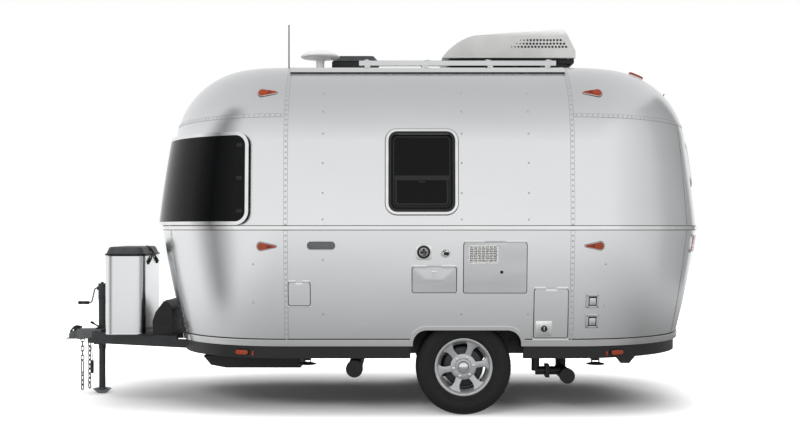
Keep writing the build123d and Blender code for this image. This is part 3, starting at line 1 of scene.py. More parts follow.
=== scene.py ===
# %% [markdown]
# # A riveted aluminium travel caravan
# The caravan's measured shapes come in as a fixed frame of named parts, in metres: X runs from the hitch
# to the tail, -Y is the street side, +Y the side with the door, and Z is up from the ground. This
# script gives every part its finish and adds what a maker adds last: rivets, seams, glass edges, lamps,
# locks, tyre tread and chain links. Sizes below are in millimetres, because a caravan's drawings are.

# %% Load the frame
import math

import bmesh
import bpy
from mathutils import Matrix, Vector


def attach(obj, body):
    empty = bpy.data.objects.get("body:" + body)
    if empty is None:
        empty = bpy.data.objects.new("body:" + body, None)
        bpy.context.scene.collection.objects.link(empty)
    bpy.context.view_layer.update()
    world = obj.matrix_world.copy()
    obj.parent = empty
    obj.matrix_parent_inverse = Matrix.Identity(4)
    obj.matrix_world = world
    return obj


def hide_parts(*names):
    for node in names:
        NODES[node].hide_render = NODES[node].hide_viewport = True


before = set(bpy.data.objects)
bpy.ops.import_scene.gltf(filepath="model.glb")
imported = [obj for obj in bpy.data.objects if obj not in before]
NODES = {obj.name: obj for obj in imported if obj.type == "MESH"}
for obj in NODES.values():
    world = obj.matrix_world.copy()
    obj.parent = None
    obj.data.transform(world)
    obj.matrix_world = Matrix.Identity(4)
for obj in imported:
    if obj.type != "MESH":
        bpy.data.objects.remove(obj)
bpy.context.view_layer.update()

MM = 0.001
BOTH = STREET, KERB = -1, 1
print("parts in the frame:", len(NODES))

# %% [markdown]
# ## Camera
# A long lens held level at eye height, square to the street side. The eye height is the belt line's, so
# the belt looks straight. The small upward shift keeps walls upright, which tilting would not.

# %% Camera
EYE_AT = (178, -8658, 1304)
PICTURE_WIDTH = 800
FOCAL_PIXELS, SHIFT_PIXELS = 1093.0, 4.5
SENSOR_MM = 36.0
lens = bpy.data.cameras.new("eye_level")
lens.sensor_width = SENSOR_MM
lens.lens = FOCAL_PIXELS / PICTURE_WIDTH * SENSOR_MM
lens.shift_y = SHIFT_PIXELS / PICTURE_WIDTH
eye = bpy.data.objects.new("eye_level", lens)
bpy.context.collection.objects.link(eye)
eye.location = Vector(EYE_AT) * MM
eye.rotation_euler = (math.radians(90), 0, 0)
bpy.context.scene.camera = eye
print("lens", round(lens.lens, 1), "mm")

# %% [markdown]
# ## Studio
# Bright metal has hardly any colour of its own: it shows the room. A car studio gives it a white floor
# that runs up into a white wall, a ceiling that is a little greyer, and flags, which are graded cards
# that only put calm dark bands into the reflections. Flags are hidden from the camera and cast no shadow.

# %% Studio floor, flags, lamps and walls
def stage_card(name, size, at, turn=(0, 0, 0)):
    """A flat card of the studio, in metres, that isn't part of the caravan."""
    bpy.ops.object.select_all(action="DESELECT")
    bpy.ops.mesh.primitive_plane_add(size=1, location=at, rotation=[math.radians(a) for a in turn])
    card = bpy.context.object
    card.name = name
    card.scale = (*size, 1)
    bpy.ops.object.transform_apply(location=True, rotation=True, scale=True)
    return card


def add_node(material, kind, inputs=None, **settings):
    """Adds one node to a material, with its settings, and sets or links its inputs."""
    tree = material.node_tree
    node = tree.nodes.new(kind)
    for key, value in settings.items():
        setattr(node, key, value)
    for key, value in (inputs or {}).items():
        if isinstance(value, bpy.types.NodeSocket):
            tree.links.new(value, node.inputs[key])
        else:
            node.inputs[key].default_value = value
    return node


def linear(hex_colour):
    """An sRGB hex colour as the linear RGBA that shaders use."""
    parts = [int(hex_colour[i:i + 2], 16) / 255 for i in (1, 3, 5)]
    return (*[c / 12.92 if c <= 0.04045 else ((c + 0.055) / 1.055) ** 2.4 for c in parts], 1.0)


def tones(owner, value, stops):
    """A grey read from a table of (position 0 to 1, sRGB hex) stops."""
    ramp = add_node(owner, "ShaderNodeValToRGB", {"Fac": value})
    elements = ramp.color_ramp.elements
    for index, (position, grey) in enumerate(stops):
        element = elements[index] if index < 2 else elements.new(position)
        element.position, element.color = position, linear(grey)
    return ramp.outputs["Color"]


def seen_directly(owner):
    """1 for a ray that shows the room itself, 0 for one that only gathers light."""
    ray = add_node(owner, "ShaderNodeLightPath")
    seen = add_node(owner, "ShaderNodeMath",
                    {0: ray.outputs["Is Camera Ray"], 1: ray.outputs["Is Glossy Ray"]}, operation="ADD")
    return add_node(owner, "ShaderNodeMath", {0: seen.outputs[0], 1: ray.outputs["Is Transmission Ray"]},
                    operation="ADD", use_clamp=True).outputs[0]


def metres_outside(owner, middle, half):
    """How far a point of the floor lies outside a rectangle on it, in metres."""
    spot = add_node(owner, "ShaderNodeTexCoord").outputs["Object"]
    for operation, value in (("SUBTRACT", (*middle, 0)), ("ABSOLUTE", (0, 0, 0)),
                             ("SUBTRACT", (*half, 9)), ("MAXIMUM", (0, 0, 0))):
        spot = add_node(owner, "ShaderNodeVectorMath", {0: spot, 1: value}, operation=operation).outputs[0]
    return add_node(owner, "ShaderNodeVectorMath", {0: spot}, operation="LENGTH").outputs["Value"]


def paper(card, name, grey="#FAFAFA"):
    """Matt paper on a card of the studio; returns its material and shader."""
    material = bpy.data.materials.new(name)
    material.use_nodes = True
    shader = material.node_tree.nodes["Principled BSDF"]
    shader.inputs["Base Color"].default_value = linear(grey)
    shader.inputs["Roughness"].default_value = 0.9
    shader.inputs["Specular IOR Level"].default_value = 0.0
    card.data.materials.append(material)
    return material, shader


# The floor glows more away from the caravan, so it meets the white wall with no line.
GLOW_REACH, GLOW_LOW, GLOW_HIGH = 1.3, 0.02, 0.80
floor_paper, shader = paper(stage_card("studio_floor", (60, 60), (0, 0, 0)), "white_paper_floor")
shader.inputs["Emission Color"].default_value = linear("#FFFFFF")
glow = add_node(floor_paper, "ShaderNodeMapRange",
                {"Value": metres_outside(floor_paper, (0, 0), (1.7, 0.4)), "From Max": GLOW_REACH,
                 "To Min": GLOW_LOW, "To Max": GLOW_HIGH}, interpolation_type="SMOOTHSTEP")
glow = add_node(floor_paper, "ShaderNodeMath",
                {0: glow.outputs[0], 1: seen_directly(floor_paper)}, operation="MULTIPLY")
floor_paper.node_tree.links.new(glow.outputs[0], shader.inputs["Emission Strength"])

FLAGS = (  # name, size in m, centre, turn, greys along the card's length
    ("front_flag", (2.2, 4.8), (-3.4, -1.9, 2.4), (90, 0, -66),
     ((0, "#F4F4F4"), (1, "#F4F4F4"), (0.5, "#7E7E7E"))),
    ("rear_flag", (11.5, 6.0), (6.5, -0.75, 2.9), (90, 0, 90),
     ((0, "#FAFAFA"), (1, "#949494"), (0.26, "#E7E7E7"), (0.42, "#D8D8D8"), (0.52, "#BEBEBE"),
      (0.77, "#AAAAAA"))),
)
FLOOR_FLAG_REACH = 7.5
# The floor's reflection: dark close to the caravan, where its shadow lies, and bright far out.
FLOOR_FLAG_TONES = ((0, "#888888"), (1, "#FCFCFC"), (0.15, "#AEAEAE"), (0.26, "#C4C4C4"), (0.50, "#D6D6D6"),
                    (0.74, "#EAEAEA"))


def flag_finish(flag, name):
    """Makes a card that only reflections see; returns its material and shader."""
    material, shader = paper(flag, name, "#000000")
    shader.inputs["Emission Strength"].default_value = 1.0
    flag.visible_camera = flag.visible_shadow = flag.visible_diffuse = False
    return material, shader


for name, size, at, turn, greys in FLAGS:
    material, shader = flag_finish(stage_card(name, size, at, turn), name + "_card")
    along = add_node(material, "ShaderNodeTexCoord").outputs["Generated"]
    value = add_node(material, "ShaderNodeSeparateXYZ", {0: along}).outputs["Y"]
    material.node_tree.links.new(tones(material, value, greys), shader.inputs["Emission Color"])

material, shader = flag_finish(stage_card("floor_flag", (40, 40), (0, 0, 0.02)), "floor_flag_card")
away = metres_outside(material, (1.5, 0.9), (2.1, 2.1))
# In front of the hitch the floor is bright again, so the tone is read further along the table there.
lift = add_node(material, "ShaderNodeTexCoord").outputs["Object"]
lift = add_node(material, "ShaderNodeSeparateXYZ", {0: lift}).outputs["X"]
lift = add_node(material, "ShaderNodeMapRange",
                {"Value": lift, "From Min": -2.0, "From Max": -4.0, "To Max": 2.5}).outputs[0]
away = add_node(material, "ShaderNodeMath", {0: away, 1: lift}, operation="ADD").outputs[0]
away = add_node(material, "ShaderNodeMath", {0: away, 1: FLOOR_FLAG_REACH}, operation="DIVIDE").outputs[0]
material.node_tree.links.new(tones(material, away, FLOOR_FLAG_TONES), shader.inputs["Emission Color"])

LAMPS = (  # name, size in m, centre, point it looks at, watts
    ("overhead_softbox", (9.0, 6.0), (0.0, -1.0, 14.0), (0.0, 0.0, 0.0), 850),
    ("street_softbox", (6.0, 2.5), (-3.0, -9.5, 6.0), (0.0, 0.0, 1.0), 340),
    ("kerb_softbox", (5.0, 2.5), (2.0, 8.0, 5.5), (0.0, 0.0, 1.0), 240),
)
for name, size, at, aim, watts in LAMPS:
    light = bpy.data.lights.new(name, "AREA")
    light.shape = "RECTANGLE"
    light.size, light.size_y = size
    light.energy = watts
    box = bpy.data.objects.new(name, light)
    bpy.context.collection.objects.link(box)
    box.location = at
    box.rotation_euler = (Vector(aim) - Vector(at)).to_track_quat("-Z", "Y").to_euler()
    box.visible_glossy = False

ROOM_STRENGTH = 0.40
# Greys of the ceiling in reflections, by the height of the ray: 0 is level, 1 is straight up.
CEILING_TONES = ((0.0, "#FFFFFF"), (1.0, "#CFCFCF"), (0.16, "#FAFAFA"), (0.34, "#EEEEEE"), (0.5, "#E6E6E6"),
                 (0.63, "#DFDFDF"), (0.8, "#D8D8D8"))
room = bpy.data.worlds.new("white_studio")
bpy.context.scene.world = room
room.use_nodes = True
room_light = room.node_tree.nodes["Background"]
height = add_node(room, "ShaderNodeTexCoord").outputs["Generated"]
height = add_node(room, "ShaderNodeSeparateXYZ", {0: height}).outputs["Z"]
ceiling = tones(room, height, CEILING_TONES)
glossy = add_node(room, "ShaderNodeLightPath").outputs["Is Glossy Ray"]
shown = add_node(room, "ShaderNodeMix", {0: glossy, 6: (1, 1, 1, 1), 7: ceiling}, data_type="RGBA").outputs[2]
room.node_tree.links.new(shown, room_light.inputs["Color"])
strength = add_node(room, "ShaderNodeMapRange", {"Value": seen_directly(room), "To Min": ROOM_STRENGTH})
room.node_tree.links.new(strength.outputs[0], room_light.inputs["Strength"])
bpy.context.scene.view_settings.view_transform = "Standard"
print("lamps:", len(LAMPS), "flags:", len(FLAGS) + 1)

# %% [markdown]
# ## Finishes
# Each finish is a Principled shader with its own colour variation, gloss variation and surface relief.
# The patterns are worked out from real sizes: a noise texture's scale is one over the pattern's size in
# metres, read in Object coordinates, so the size on the caravan is right on every part.

# %% One function for the finishes
def finish(name, dark, light, metallic, roughness, cloud, grain, relief, stretch=(1, 1, 1), **sockets):
    """A finish with clouds of colour (cloud mm wide) and a fine relief (grain mm wide, relief mm deep)."""
    material = bpy.data.materials.new(name)
    material.use_nodes = True
    shader = material.node_tree.nodes["Principled BSDF"]
    shader.inputs["Metallic"].default_value = metallic
    for key, value in sockets.items():
        shader.inputs[key.replace("_", " ")].default_value = value
    places = add_node(material, "ShaderNodeTexCoord").outputs["Object"]
    spread = add_node(material, "ShaderNodeMapping", {"Vector": places, "Scale": stretch}).outputs[0]
    clouds = add_node(material, "ShaderNodeTexNoise", {"Vector": spread, "Scale": 1 / (cloud * MM),
                                                       "Detail": 3.0, "Roughness": 0.55}).outputs[0]
    gloss = add_node(material, "ShaderNodeMapRange", {"Value": clouds, "From Min": 0.3, "From Max": 0.7,
                                                      "To Min": roughness[0], "To Max": roughness[1]})
    grains = add_node(material, "ShaderNodeTexNoise",
                      {"Vector": spread, "Scale": 1 / (grain * MM), "Detail": 2.0}).outputs[0]
    bump = add_node(material, "ShaderNodeBump", {"Height": grains, "Strength": 1.0, "Distance": relief * MM})
    for value, socket in ((tones(material, clouds, ((0.3, dark), (0.7, light))), "Base Color"),
                          (gloss.outputs[0], "Roughness"), (bump.outputs[0], "Normal")):
        material.node_tree.links.new(value, shader.inputs[socket])
    return material


# Sheet aluminium is rolled, so its faint lines run along the caravan, and each panel lies slightly wavy.
sheet_aluminium = finish("rolled_sheet_aluminium", "#E1E3E5", "#E9EAEB", 1.0, (0.20, 0.26), 700, 260, 0.22,
                         (0.3, 1, 1))
# Extruded frames are etched before they are anodised, which makes them satin.
satin_aluminium = finish("satin_anodised_aluminium", "#C9CBCD", "#DADCDD", 1.0, (0.30, 0.36), 120, 3.0, 0.02,
                         (0.15, 1, 1))
# Trim rails are bright-dipped, close to a mirror, with hairlines from wiping.
bright_trim = finish("bright_dipped_trim", "#E4E5E6", "#F0F0F0", 1.0, (0.08, 0.16), 90, 4.0, 0.01,
                     (0.1, 1, 1))
# Cast wheels are painted silver and lacquered: metallic paint is rougher than metal, under a clear coat.
wheel_silver = finish("lacquered_silver_paint", "#B9BBBD", "#CDCFD0", 0.85, (0.30, 0.38), 40, 1.5, 0.01,
                      Coat_Weight=0.6, Coat_Roughness=0.08)
zinc_plate = finish("bright_zinc_plate", "#5C5F61", "#85888A", 1.0, (0.30, 0.45), 18, 2.0, 0.03)
# Acrylic glazing for caravans is tinted through and very smooth; here it is opaque and nearly black, which
# also paints in the shade of the cabin behind it.
tinted_glass_and_cabin_shade = finish("tinted_acrylic_and_cabin_shade", "#060708", "#0A0B0D", 0.0, (0.03, 0.06), 300, 120, 0.02,
                    Specular_IOR_Level=0.14)
frame_paint = finish("black_chassis_enamel", "#222426", "#2C2E30", 0.0, (0.30, 0.42), 60, 2.5, 0.05)
sill_paint = finish("black_sill_enamel", "#101112", "#17181A", 0.0, (0.40, 0.50), 80, 2.0, 0.04)
black_plastic = finish("grained_black_polyethylene", "#070808", "#0E0F0F", 0.0, (0.44, 0.56), 50, 1.6, 0.12)
# Grey seam sealant; along the laps and round the rivet heads it also stands in for the shade at their edges.
sealant_and_shade = finish("grey_seam_sealant_and_painted_shade", "#6A6C6E", "#7C7E80", 0.0, (0.5, 0.6), 30, 2.0, 0.05)
tyre_rubber = finish("tyre_rubber", "#0F0F0F", "#181817", 0.0, (0.62, 0.78), 45, 1.2, 0.10)
white_plastic = finish("white_weathered_abs", "#E2E2E0", "#EDEDEB", 0.0, (0.32, 0.42), 180, 1.4, 0.05)
grey_plastic = finish("grey_moulded_polypropylene", "#3C3E40", "#484A4C", 0.0, (0.44, 0.55), 60, 1.6, 0.10)
smoked_plastic = finish("smoked_polycarbonate", "#2A2C2E", "#3A3C3E", 0.0, (0.10, 0.16), 120, 60, 0.05)
white_paint = finish("white_powder_coat", "#DADAD8", "#E4E4E2", 0.0, (0.35, 0.45), 90, 2.0, 0.06)
amber_lens = finish("amber_acrylic_lens", "#A63A12", "#BE4A1C", 0.0, (0.08, 0.14), 12, 5.0, 0.25)
orange_lens = finish("orange_acrylic_lens", "#8E3210", "#A63E12", 0.0, (0.22, 0.32), 12, 5.0, 0.3)
red_lens = finish("red_acrylic_lens", "#8E1510", "#A81E16", 0.0, (0.08, 0.14), 12, 5.0, 0.25)
solar_glass = finish("solar_cell_glass", "#0D1320", "#141C2E", 0.0, (0.06, 0.12), 150, 60, 0.02)

# %% [markdown]
# The frame's own parts keep their shapes and take these finishes through their material slots.

# %% Finishes of the frame's parts
PART_FINISHES = {  # a name that ends in _ stands for every part that starts with it
    sheet_aluminium: "shell_ entrance_door small_hatch utility_hatch gas_cover",
    satin_aluminium: "window_frames door_window_frame storage_hatch appliance_door side_fittings solar_panel",
    bright_trim: "mouldings window_guard_frame hinge_leaves",
    tinted_glass_and_cabin_shade: "window_glass window_guard_pane door_glass",
    frame_paint: "chassis_frame axle coupler jack_tube jack_crank under_brackets step_ stabiliser_",
    sill_paint: "floor",
    black_plastic: "coupler_latch battery_box wheel_wells belly_pan waste_plumbing air_conditioner_base "
                   "roof_vent_curb",
    grey_plastic: "gas_lid",
    smoked_plastic: "roof_vent_lid",
    white_plastic: "air_conditioner antennas",
    white_paint: "gas_cylinders",
    zinc_plate: "jack_leg safety_chains",
    amber_lens: "lamps",
    tyre_rubber: "tyre_",
    wheel_silver: "wheel_left wheel_right",
}
finished = 0
for material, patterns in PART_FINISHES.items():
    for pattern in patterns.split():
        for name in NODES:
            if name == pattern or pattern.endswith("_") and name.startswith(pattern):
                NODES[name].data.materials.clear()
                NODES[name].data.materials.append(material)
                finished += 1
print("parts with a finish:", finished)

# The looks of the added pieces: a label and the finish that the piece takes.
BLACK = "black_plastic", black_plastic
TRIM = "polished_trim", bright_trim
BRIGHT = "bright_aluminium", bright_trim
SATIN = "satin_aluminium", satin_aluminium
SEALED_AND_SHADED = "bright_aluminium", sealant_and_shade
ZINC = "zinc_steel", zinc_plate
ORANGE = "amber_lens", orange_lens

# %% [markdown]
# ## A small tool kit
# New pieces start as a primitive, which is shaped in edit mode and then bevelled, because no real edge
# is perfectly sharp and the bevel is what catches light. Two starts cover most of a caravan: a flat
# outline that is extruded, for pressed and cut sheet, and an outline that is spun, for turned parts.

# %% Selecting, joining and bevelling
def select_only(*pieces):
    """Deselects everything, then selects these pieces, the first of them active."""
    bpy.ops.object.select_all(action="DESELECT")
    for piece in pieces:
        piece.select_set(True)
    bpy.context.view_layer.objects.active = pieces[0]


def apply(piece, kind, **settings):
    """Adds one modifier with its settings and applies it."""
    modifier = piece.modifiers.new(kind.lower(), kind)
    for key, value in settings.items():
        setattr(modifier, key, value)
    select_only(piece)
    bpy.ops.object.modifier_apply(modifier=modifier.name)
    return piece


def edit(piece):
    """Opens one piece in edit mode with all of it selected."""
    select_only(piece)
    bpy.ops.object.mode_set(mode="EDIT")
    bpy.ops.mesh.select_all(action="SELECT")


def choose_faces(test):
    """In edit mode, selects the faces whose centre (mm) passes a test."""
    mesh = bmesh.from_edit_mesh(bpy.context.edit_object.data)
    for face in mesh.faces:
        face.select_set(test(face.calc_center_median() / MM))
    mesh.select_flush_mode()
    bmesh.update_edit_mesh(bpy.context.edit_object.data)


def close_edit():
    """Merges doubles, turns the faces outwards and leaves edit mode."""
    bpy.ops.mesh.select_all(action="SELECT")
    bpy.ops.mesh.remove_doubles(threshold=0.02 * MM)
    bpy.ops.mesh.normals_make_consistent(inside=False)
    bpy.ops.object.mode_set(mode="OBJECT")


def bevel(piece, width, segments=2):
    """Rounds the sharp edges of a piece by a width in mm."""
    return apply(piece, "BEVEL", width=width * MM, segments=segments, limit_method="ANGLE")


def join(pieces):
    """Makes one piece of several."""
    if len(pieces) > 1:
        select_only(*pieces)
        bpy.ops.object.join()
    return pieces[0]


def moved(piece, at=(0, 0, 0), turn_z=0.0):
    """Turns a piece about Z (degrees) and moves it (mm)."""
    turning = Matrix.Rotation(math.radians(turn_z), 4, "Z")
    piece.data.transform(Matrix.Translation(Vector(at) * MM) @ turning)
    return piece


def copy(piece, matrix=Matrix()):
    """A copy with its own mesh, moved by a matrix."""
    twin = piece.copy()
    twin.data = piece.data.copy()
    bpy.context.collection.objects.link(twin)
    twin.data.transform(matrix)
    if matrix.determinant() < 0:
        twin.data.flip_normals()
    return twin


def place(pieces, name, look, body="caravan", replaced=None, smooth=35):
    """Finishes pieces as one: name, shading, look (a label and the material it takes), body, and the part it
    replaces.
    """
    piece = join(pieces) if isinstance(pieces, list) else pieces
    slot, material = look
    piece.name = piece.data.name = name
    select_only(piece)
    bpy.ops.object.transform_apply(location=True, rotation=True, scale=True)
    bpy.ops.object.shade_smooth_by_angle(angle=math.radians(smooth))
    piece.data.materials.clear()
    piece.data.materials.append(material)
    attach(piece, body)
    if replaced:
        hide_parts(replaced)
    piece.data.calc_loop_triangles()
    print(name, len(piece.data.loop_triangles), "triangles")


# %% Blocks, plates, rings and turned parts
def fresh(add, **settings):
    """Adds one primitive with nothing else selected."""
    bpy.ops.object.select_all(action="DESELECT")
    add(**settings)
    return bpy.context.object


def block(size, at=(0, 0, 0), turn=(0, 0, 0), rounded=1.0, segments=2):
    """A box with rounded edges; size, centre and rounding in mm, turn in degrees."""
    piece = fresh(bpy.ops.mesh.primitive_cube_add, size=MM)
    piece.data.transform(Matrix.Diagonal((*size, 1)))
    bevel(piece, rounded, segments)
    turning = Matrix.Identity(4)
    for axis, angle in zip("XYZ", turn):
        turning = Matrix.Rotation(math.radians(angle), 4, axis) @ turning
    piece.data.transform(Matrix.Translation(Vector(at) * MM) @ turning)
    return piece


def oblong(length, height, corner, steps=6, at=(0, 0)):
    """Corner points of a rounded rectangle, counter-clockwise."""
    points = []
    for quarter, (x, y) in enumerate(((1, 1), (-1, 1), (-1, -1), (1, -1))):
        middle = (x * (length / 2 - corner) + at[0], y * (height / 2 - corner) + at[1])
        for step in range(steps + 1):
            angle = math.radians(90 * (quarter + step / steps))
            points.append((middle[0] + corner * math.cos(angle), middle[1] + corner * math.sin(angle)))
    return points


def outline(points, filled=True):
    """A closed flat line through (x, y) points in mm: a circle whose vertices are moved there."""
    piece = fresh(bpy.ops.mesh.primitive_circle_add, vertices=len(points), radius=MM,
                  fill_type="NGON" if filled else "NOTHING")
    for vertex, point in zip(piece.data.vertices, points):
        vertex.co = Vector((point[0], point[1], 0)) * MM
    return piece


def extrude(piece, depth):
    """Extrudes all of an open piece along Z by a depth in mm."""
    edit(piece)
    bpy.ops.mesh.extrude_region_move(TRANSFORM_OT_translate={"value": (0, 0, depth * MM)})
    close_edit()
    return piece


def plate(points, depth, low=0.0, rounded=0.8, segments=2):
    """A flat plate of an outline, from a height up by its depth, with rounded edges."""
    return bevel(moved(extrude(outline(points), depth), (0, 0, low)), rounded, segments)


def ring(points, width, depth, low=0.0, rounded=0.8, segments=2):
    """A frame that follows an outline: the plate is inset by its width and the middle taken out."""
    piece = outline(points)
    edit(piece)
    bpy.ops.mesh.inset(thickness=width * MM, use_boundary=True)
    bpy.ops.mesh.delete(type="FACE")
    bpy.ops.object.mode_set(mode="OBJECT")
    return bevel(moved(extrude(piece, depth), (0, 0, low)), rounded, segments)


def turned(profile, steps=48, sweep=360.0):
    """A turned part on the Z axis, from a closed profile of (radius, height) points in mm."""
    piece = outline(profile, filled=False)
    piece.data.transform(Matrix.Rotation(math.radians(90), 4, "X"))
    edit(piece)
    bpy.ops.mesh.spin(steps=steps, angle=math.radians(sweep), center=(0, 0, 0), axis=(0, 0, 1))
    close_edit()
    return piece


def spun_copies(piece, count, start=0.0):
    """Copies of a piece turned evenly about the Z axis, joined into one."""
    turns = [Matrix.Rotation(math.radians(start + 360 * index / count), 4, "Z") for index in range(count)]
    copies = join([copy(piece, turn) for turn in turns])
    bpy.data.objects.remove(piece)
    return copies


def polar(radius, angle):
    """A point in mm at an angle in degrees from the Y axis."""
    return radius * math.sin(math.radians(angle)), radius * math.cos(math.radians(angle))


def screw_head(radius=4.0, height=2.0):
    """A pan-head screw on the XY plane, with a round recess in its middle."""
    return turned(((0, height * 0.55), (radius * 0.25, height * 0.6), (radius * 0.35, height),
                   (radius * 0.7, height * 0.8), (radius, height * 0.3), (radius, -1), (0, -1)), steps=10)


def stand(at, outward, up=(0, 0, 1)):
    """A matrix that stands a piece modelled flat, with its Z outward and its Y up, at a point in mm."""
    outward = Vector(outward).normalized()
    right = Vector(up).cross(outward).normalized()
    rows = Matrix((right, outward.cross(right), outward)).transposed().to_4x4()
    return Matrix.Translation(Vector(at) * MM) @ rows


# %% [markdown]
# ## Finding the wall
# The wall curves, so what is fastened on it has to know where it is. A ray shot at the shell from
# outside finds the point and the slope there. The straight middle part has the same profile all along,
# so its height profile is read beside the front seam, where there are no openings.

# %% Rays at the shell
PLAIN_COLUMN = -560.0
SEAMS = (-606.0, 1356.0)


def shoot(start, aim):
    """Point (mm) and normal where a ray from start towards aim, both in mm, first meets the shell."""
    start, aim = Vector(start) * MM, Vector(aim) * MM
    best = None
    for name in ("shell_front", "shell_middle", "shell_rear"):
        hit, point, normal, _ = NODES[name].ray_cast(start, (aim - start).normalized())
        if hit and (best is None or (point - start).length < (best[0] - start).length):
            best = (point, normal)
    return (best[0] / MM, best[1]) if best else None


def wall(x, z, side=STREET):
    """Point and outward normal of the side wall at a place along and a height."""
    column = PLAIN_COLUMN if SEAMS[0] < x < SEAMS[1] else x
    point, normal = shoot((column, side * 2500, z), (column, 0, z))
    return Vector((x, point.y, z)), normal


def on_wall(piece, x, z):
    """Stands a piece modelled flat on the street wall; it stays flat and leans with the wall."""
    piece.data.transform(stand(*wall(x, z)))
    return piece


def lay(piece, find):
    """Moves each point of a flat piece to the place on the shell that find gives for it."""
    for vertex in piece.data.vertices:
        across, up, out = vertex.co / MM
        point, normal = find(across, up)
        vertex.co = (point + normal * out) * MM
    return piece


def drape_on_wall(piece, x, z, side=STREET):
    """Lays a piece modelled flat on the side wall, so that each of its points follows the curve."""
    return lay(piece, lambda across, up: wall(x - side * across, z + up, side))


print("wall at the belt line:", [round(value, 1) for value in wall(0, 1305)[0]])

# %% [markdown]
# ## Seams and rivets
# The shell is sheet aluminium riveted over ribs. Each end is a cap of formed panels, lapped over the
# straight middle along one seam, and the top of each cap is a separate dome panel with its own lap at
# eyebrow height. A lap is a thin strip that stands one sheet proud of its neighbour; it is real relief
# here, because a seam drawn on the surface vanishes as soon as light rakes along it.

# %% Paths along the shell
LAP_WIDTH, LAP_THICK, LAP_CLEAR = 24.0, 1.3, 0.4
AXIS_Z, FAR_OUT = 1500.0, 3000.0
SEAM_SWEEP = (-41.5, 221.5)      # from one lower edge over the roof to the other, in degrees
EYEBROW_SIDE_Z, EYEBROW_END_Z = 2080.0, 2056.0


def inward(middle, out):
    """Point and normal where a ray from outside towards a middle, along a direction, meets the shell."""
    return shoot(Vector(middle) + Vector(out) * FAR_OUT, middle)


def spaced(first, last, steps):
    """Evenly spaced values from first to last."""
    return [first + (last - first) * step / steps for step in range(steps + 1)]


def seam_path(x, steps=96):
    """Points and normals of the cross-section of the shell at a place along the caravan."""
    turns = [math.radians(turn) for turn in spaced(*SEAM_SWEEP, steps)]
    return [inward((x, 0, AXIS_Z), (0, -math.cos(turn), math.sin(turn))) for turn in turns]


def eyebrow_path(seam, way, steps=72):
    """Points and normals round one end cap at eyebrow height, from seam to seam."""
    path = []
    for turn in spaced(-90, 90, steps):
        across, along = math.sin(math.radians(turn)), math.cos(math.radians(turn))
        z = EYEBROW_END_Z + (EYEBROW_SIDE_Z - EYEBROW_END_Z) * across ** 2
        path.append(inward((seam, 0, z), (way * along, across, 0)))
    return path


def upright_path(seam, way, turn, low, high, steps=16):
    """Points and normals up an end cap between two heights."""
    out = (way * math.cos(math.radians(turn)), math.sin(math.radians(turn)), 0)
    return [inward((seam, 0, z), out) for z in spaced(low, high, steps)]


def lap(path, width=LAP_WIDTH, thick=LAP_THICK):
    """A strip laid along a path on the shell, centred on it."""
    last = len(path) - 1
    strip = fresh(bpy.ops.mesh.primitive_grid_add, x_subdivisions=last, y_subdivisions=1, size=1)
    for vertex in strip.data.vertices:
        index = round((vertex.co.x + 0.5) * last)
        point, normal = path[index]
        along = path[min(index + 1, last)][0] - path[max(index - 1, 0)][0]
        across = normal.cross(along).normalized() * math.copysign(width / 2, vertex.co.y)
        vertex.co = (point + across + normal * LAP_CLEAR) * MM
    if strip.data.polygons[0].normal.dot(path[0][1]) < 0:
        strip.data.flip_normals()
    apply(strip, "SOLIDIFY", thickness=thick * MM, offset=1.0)
    return bevel(strip, min(0.4, thick / 3), 1)


def along_path(path, pitch, first=0.5):
    """Evenly spaced points and normals along a path, a pitch in mm apart."""
    found, travelled, wanted = [], 0.0, pitch * first
    for (start, slope), (end, _) in zip(path, path[1:]):
        length = (end - start).length
        while wanted <= travelled + length:
            found.append((start.lerp(end, (wanted - travelled) / length), slope))
            wanted += pitch
        travelled += length
    return found


# %% The laps
FRONT_SEAM, REAR_SEAM = SEAMS
CAP_SEAM_TURNS = (-38.0, 38.0)    # upright joints of each cap, about the middle of its seam
BELOW_BELT, ABOVE_BELT = (530.0, 1290.0), (1330.0, 2050.0)
SEALANT_AND_SHADE_SHOWS, SEALANT_AND_SHADE_THICK = 1.8, 0.7
lap_paths = [seam_path(FRONT_SEAM + 2), seam_path(REAR_SEAM + 2), eyebrow_path(FRONT_SEAM - 16, -1),
             eyebrow_path(REAR_SEAM + 16, 1)]
lap_paths += [upright_path(REAR_SEAM, 1, turn, *span)
              for turn in CAP_SEAM_TURNS for span in (ABOVE_BELT, BELOW_BELT)]
lap_paths += [upright_path(FRONT_SEAM, -1, turn, *BELOW_BELT) for turn in CAP_SEAM_TURNS]
place([lap(path) for path in lap_paths], "panel_laps", ("bright_aluminium", sheet_aluminium), smooth=40)
# A wider grey strip under each lap shows on both sides of it: sealant, and painted shade along the lap's
# edges.
place([lap(path, LAP_WIDTH + 2 * SEALANT_AND_SHADE_SHOWS, SEALANT_AND_SHADE_THICK) for path in lap_paths], "lap_sealant_and_shade", SEALED_AND_SHADED,
      smooth=40)

# %% [markdown]
# A rivet head here is about 9 mm across and 2 mm high, so each is a low eight-sided dome: there are
# hundreds, and any more faces would not show. They sit a pitch of 38 mm apart along the laps, and
# singly where a rib passes behind the sheet.

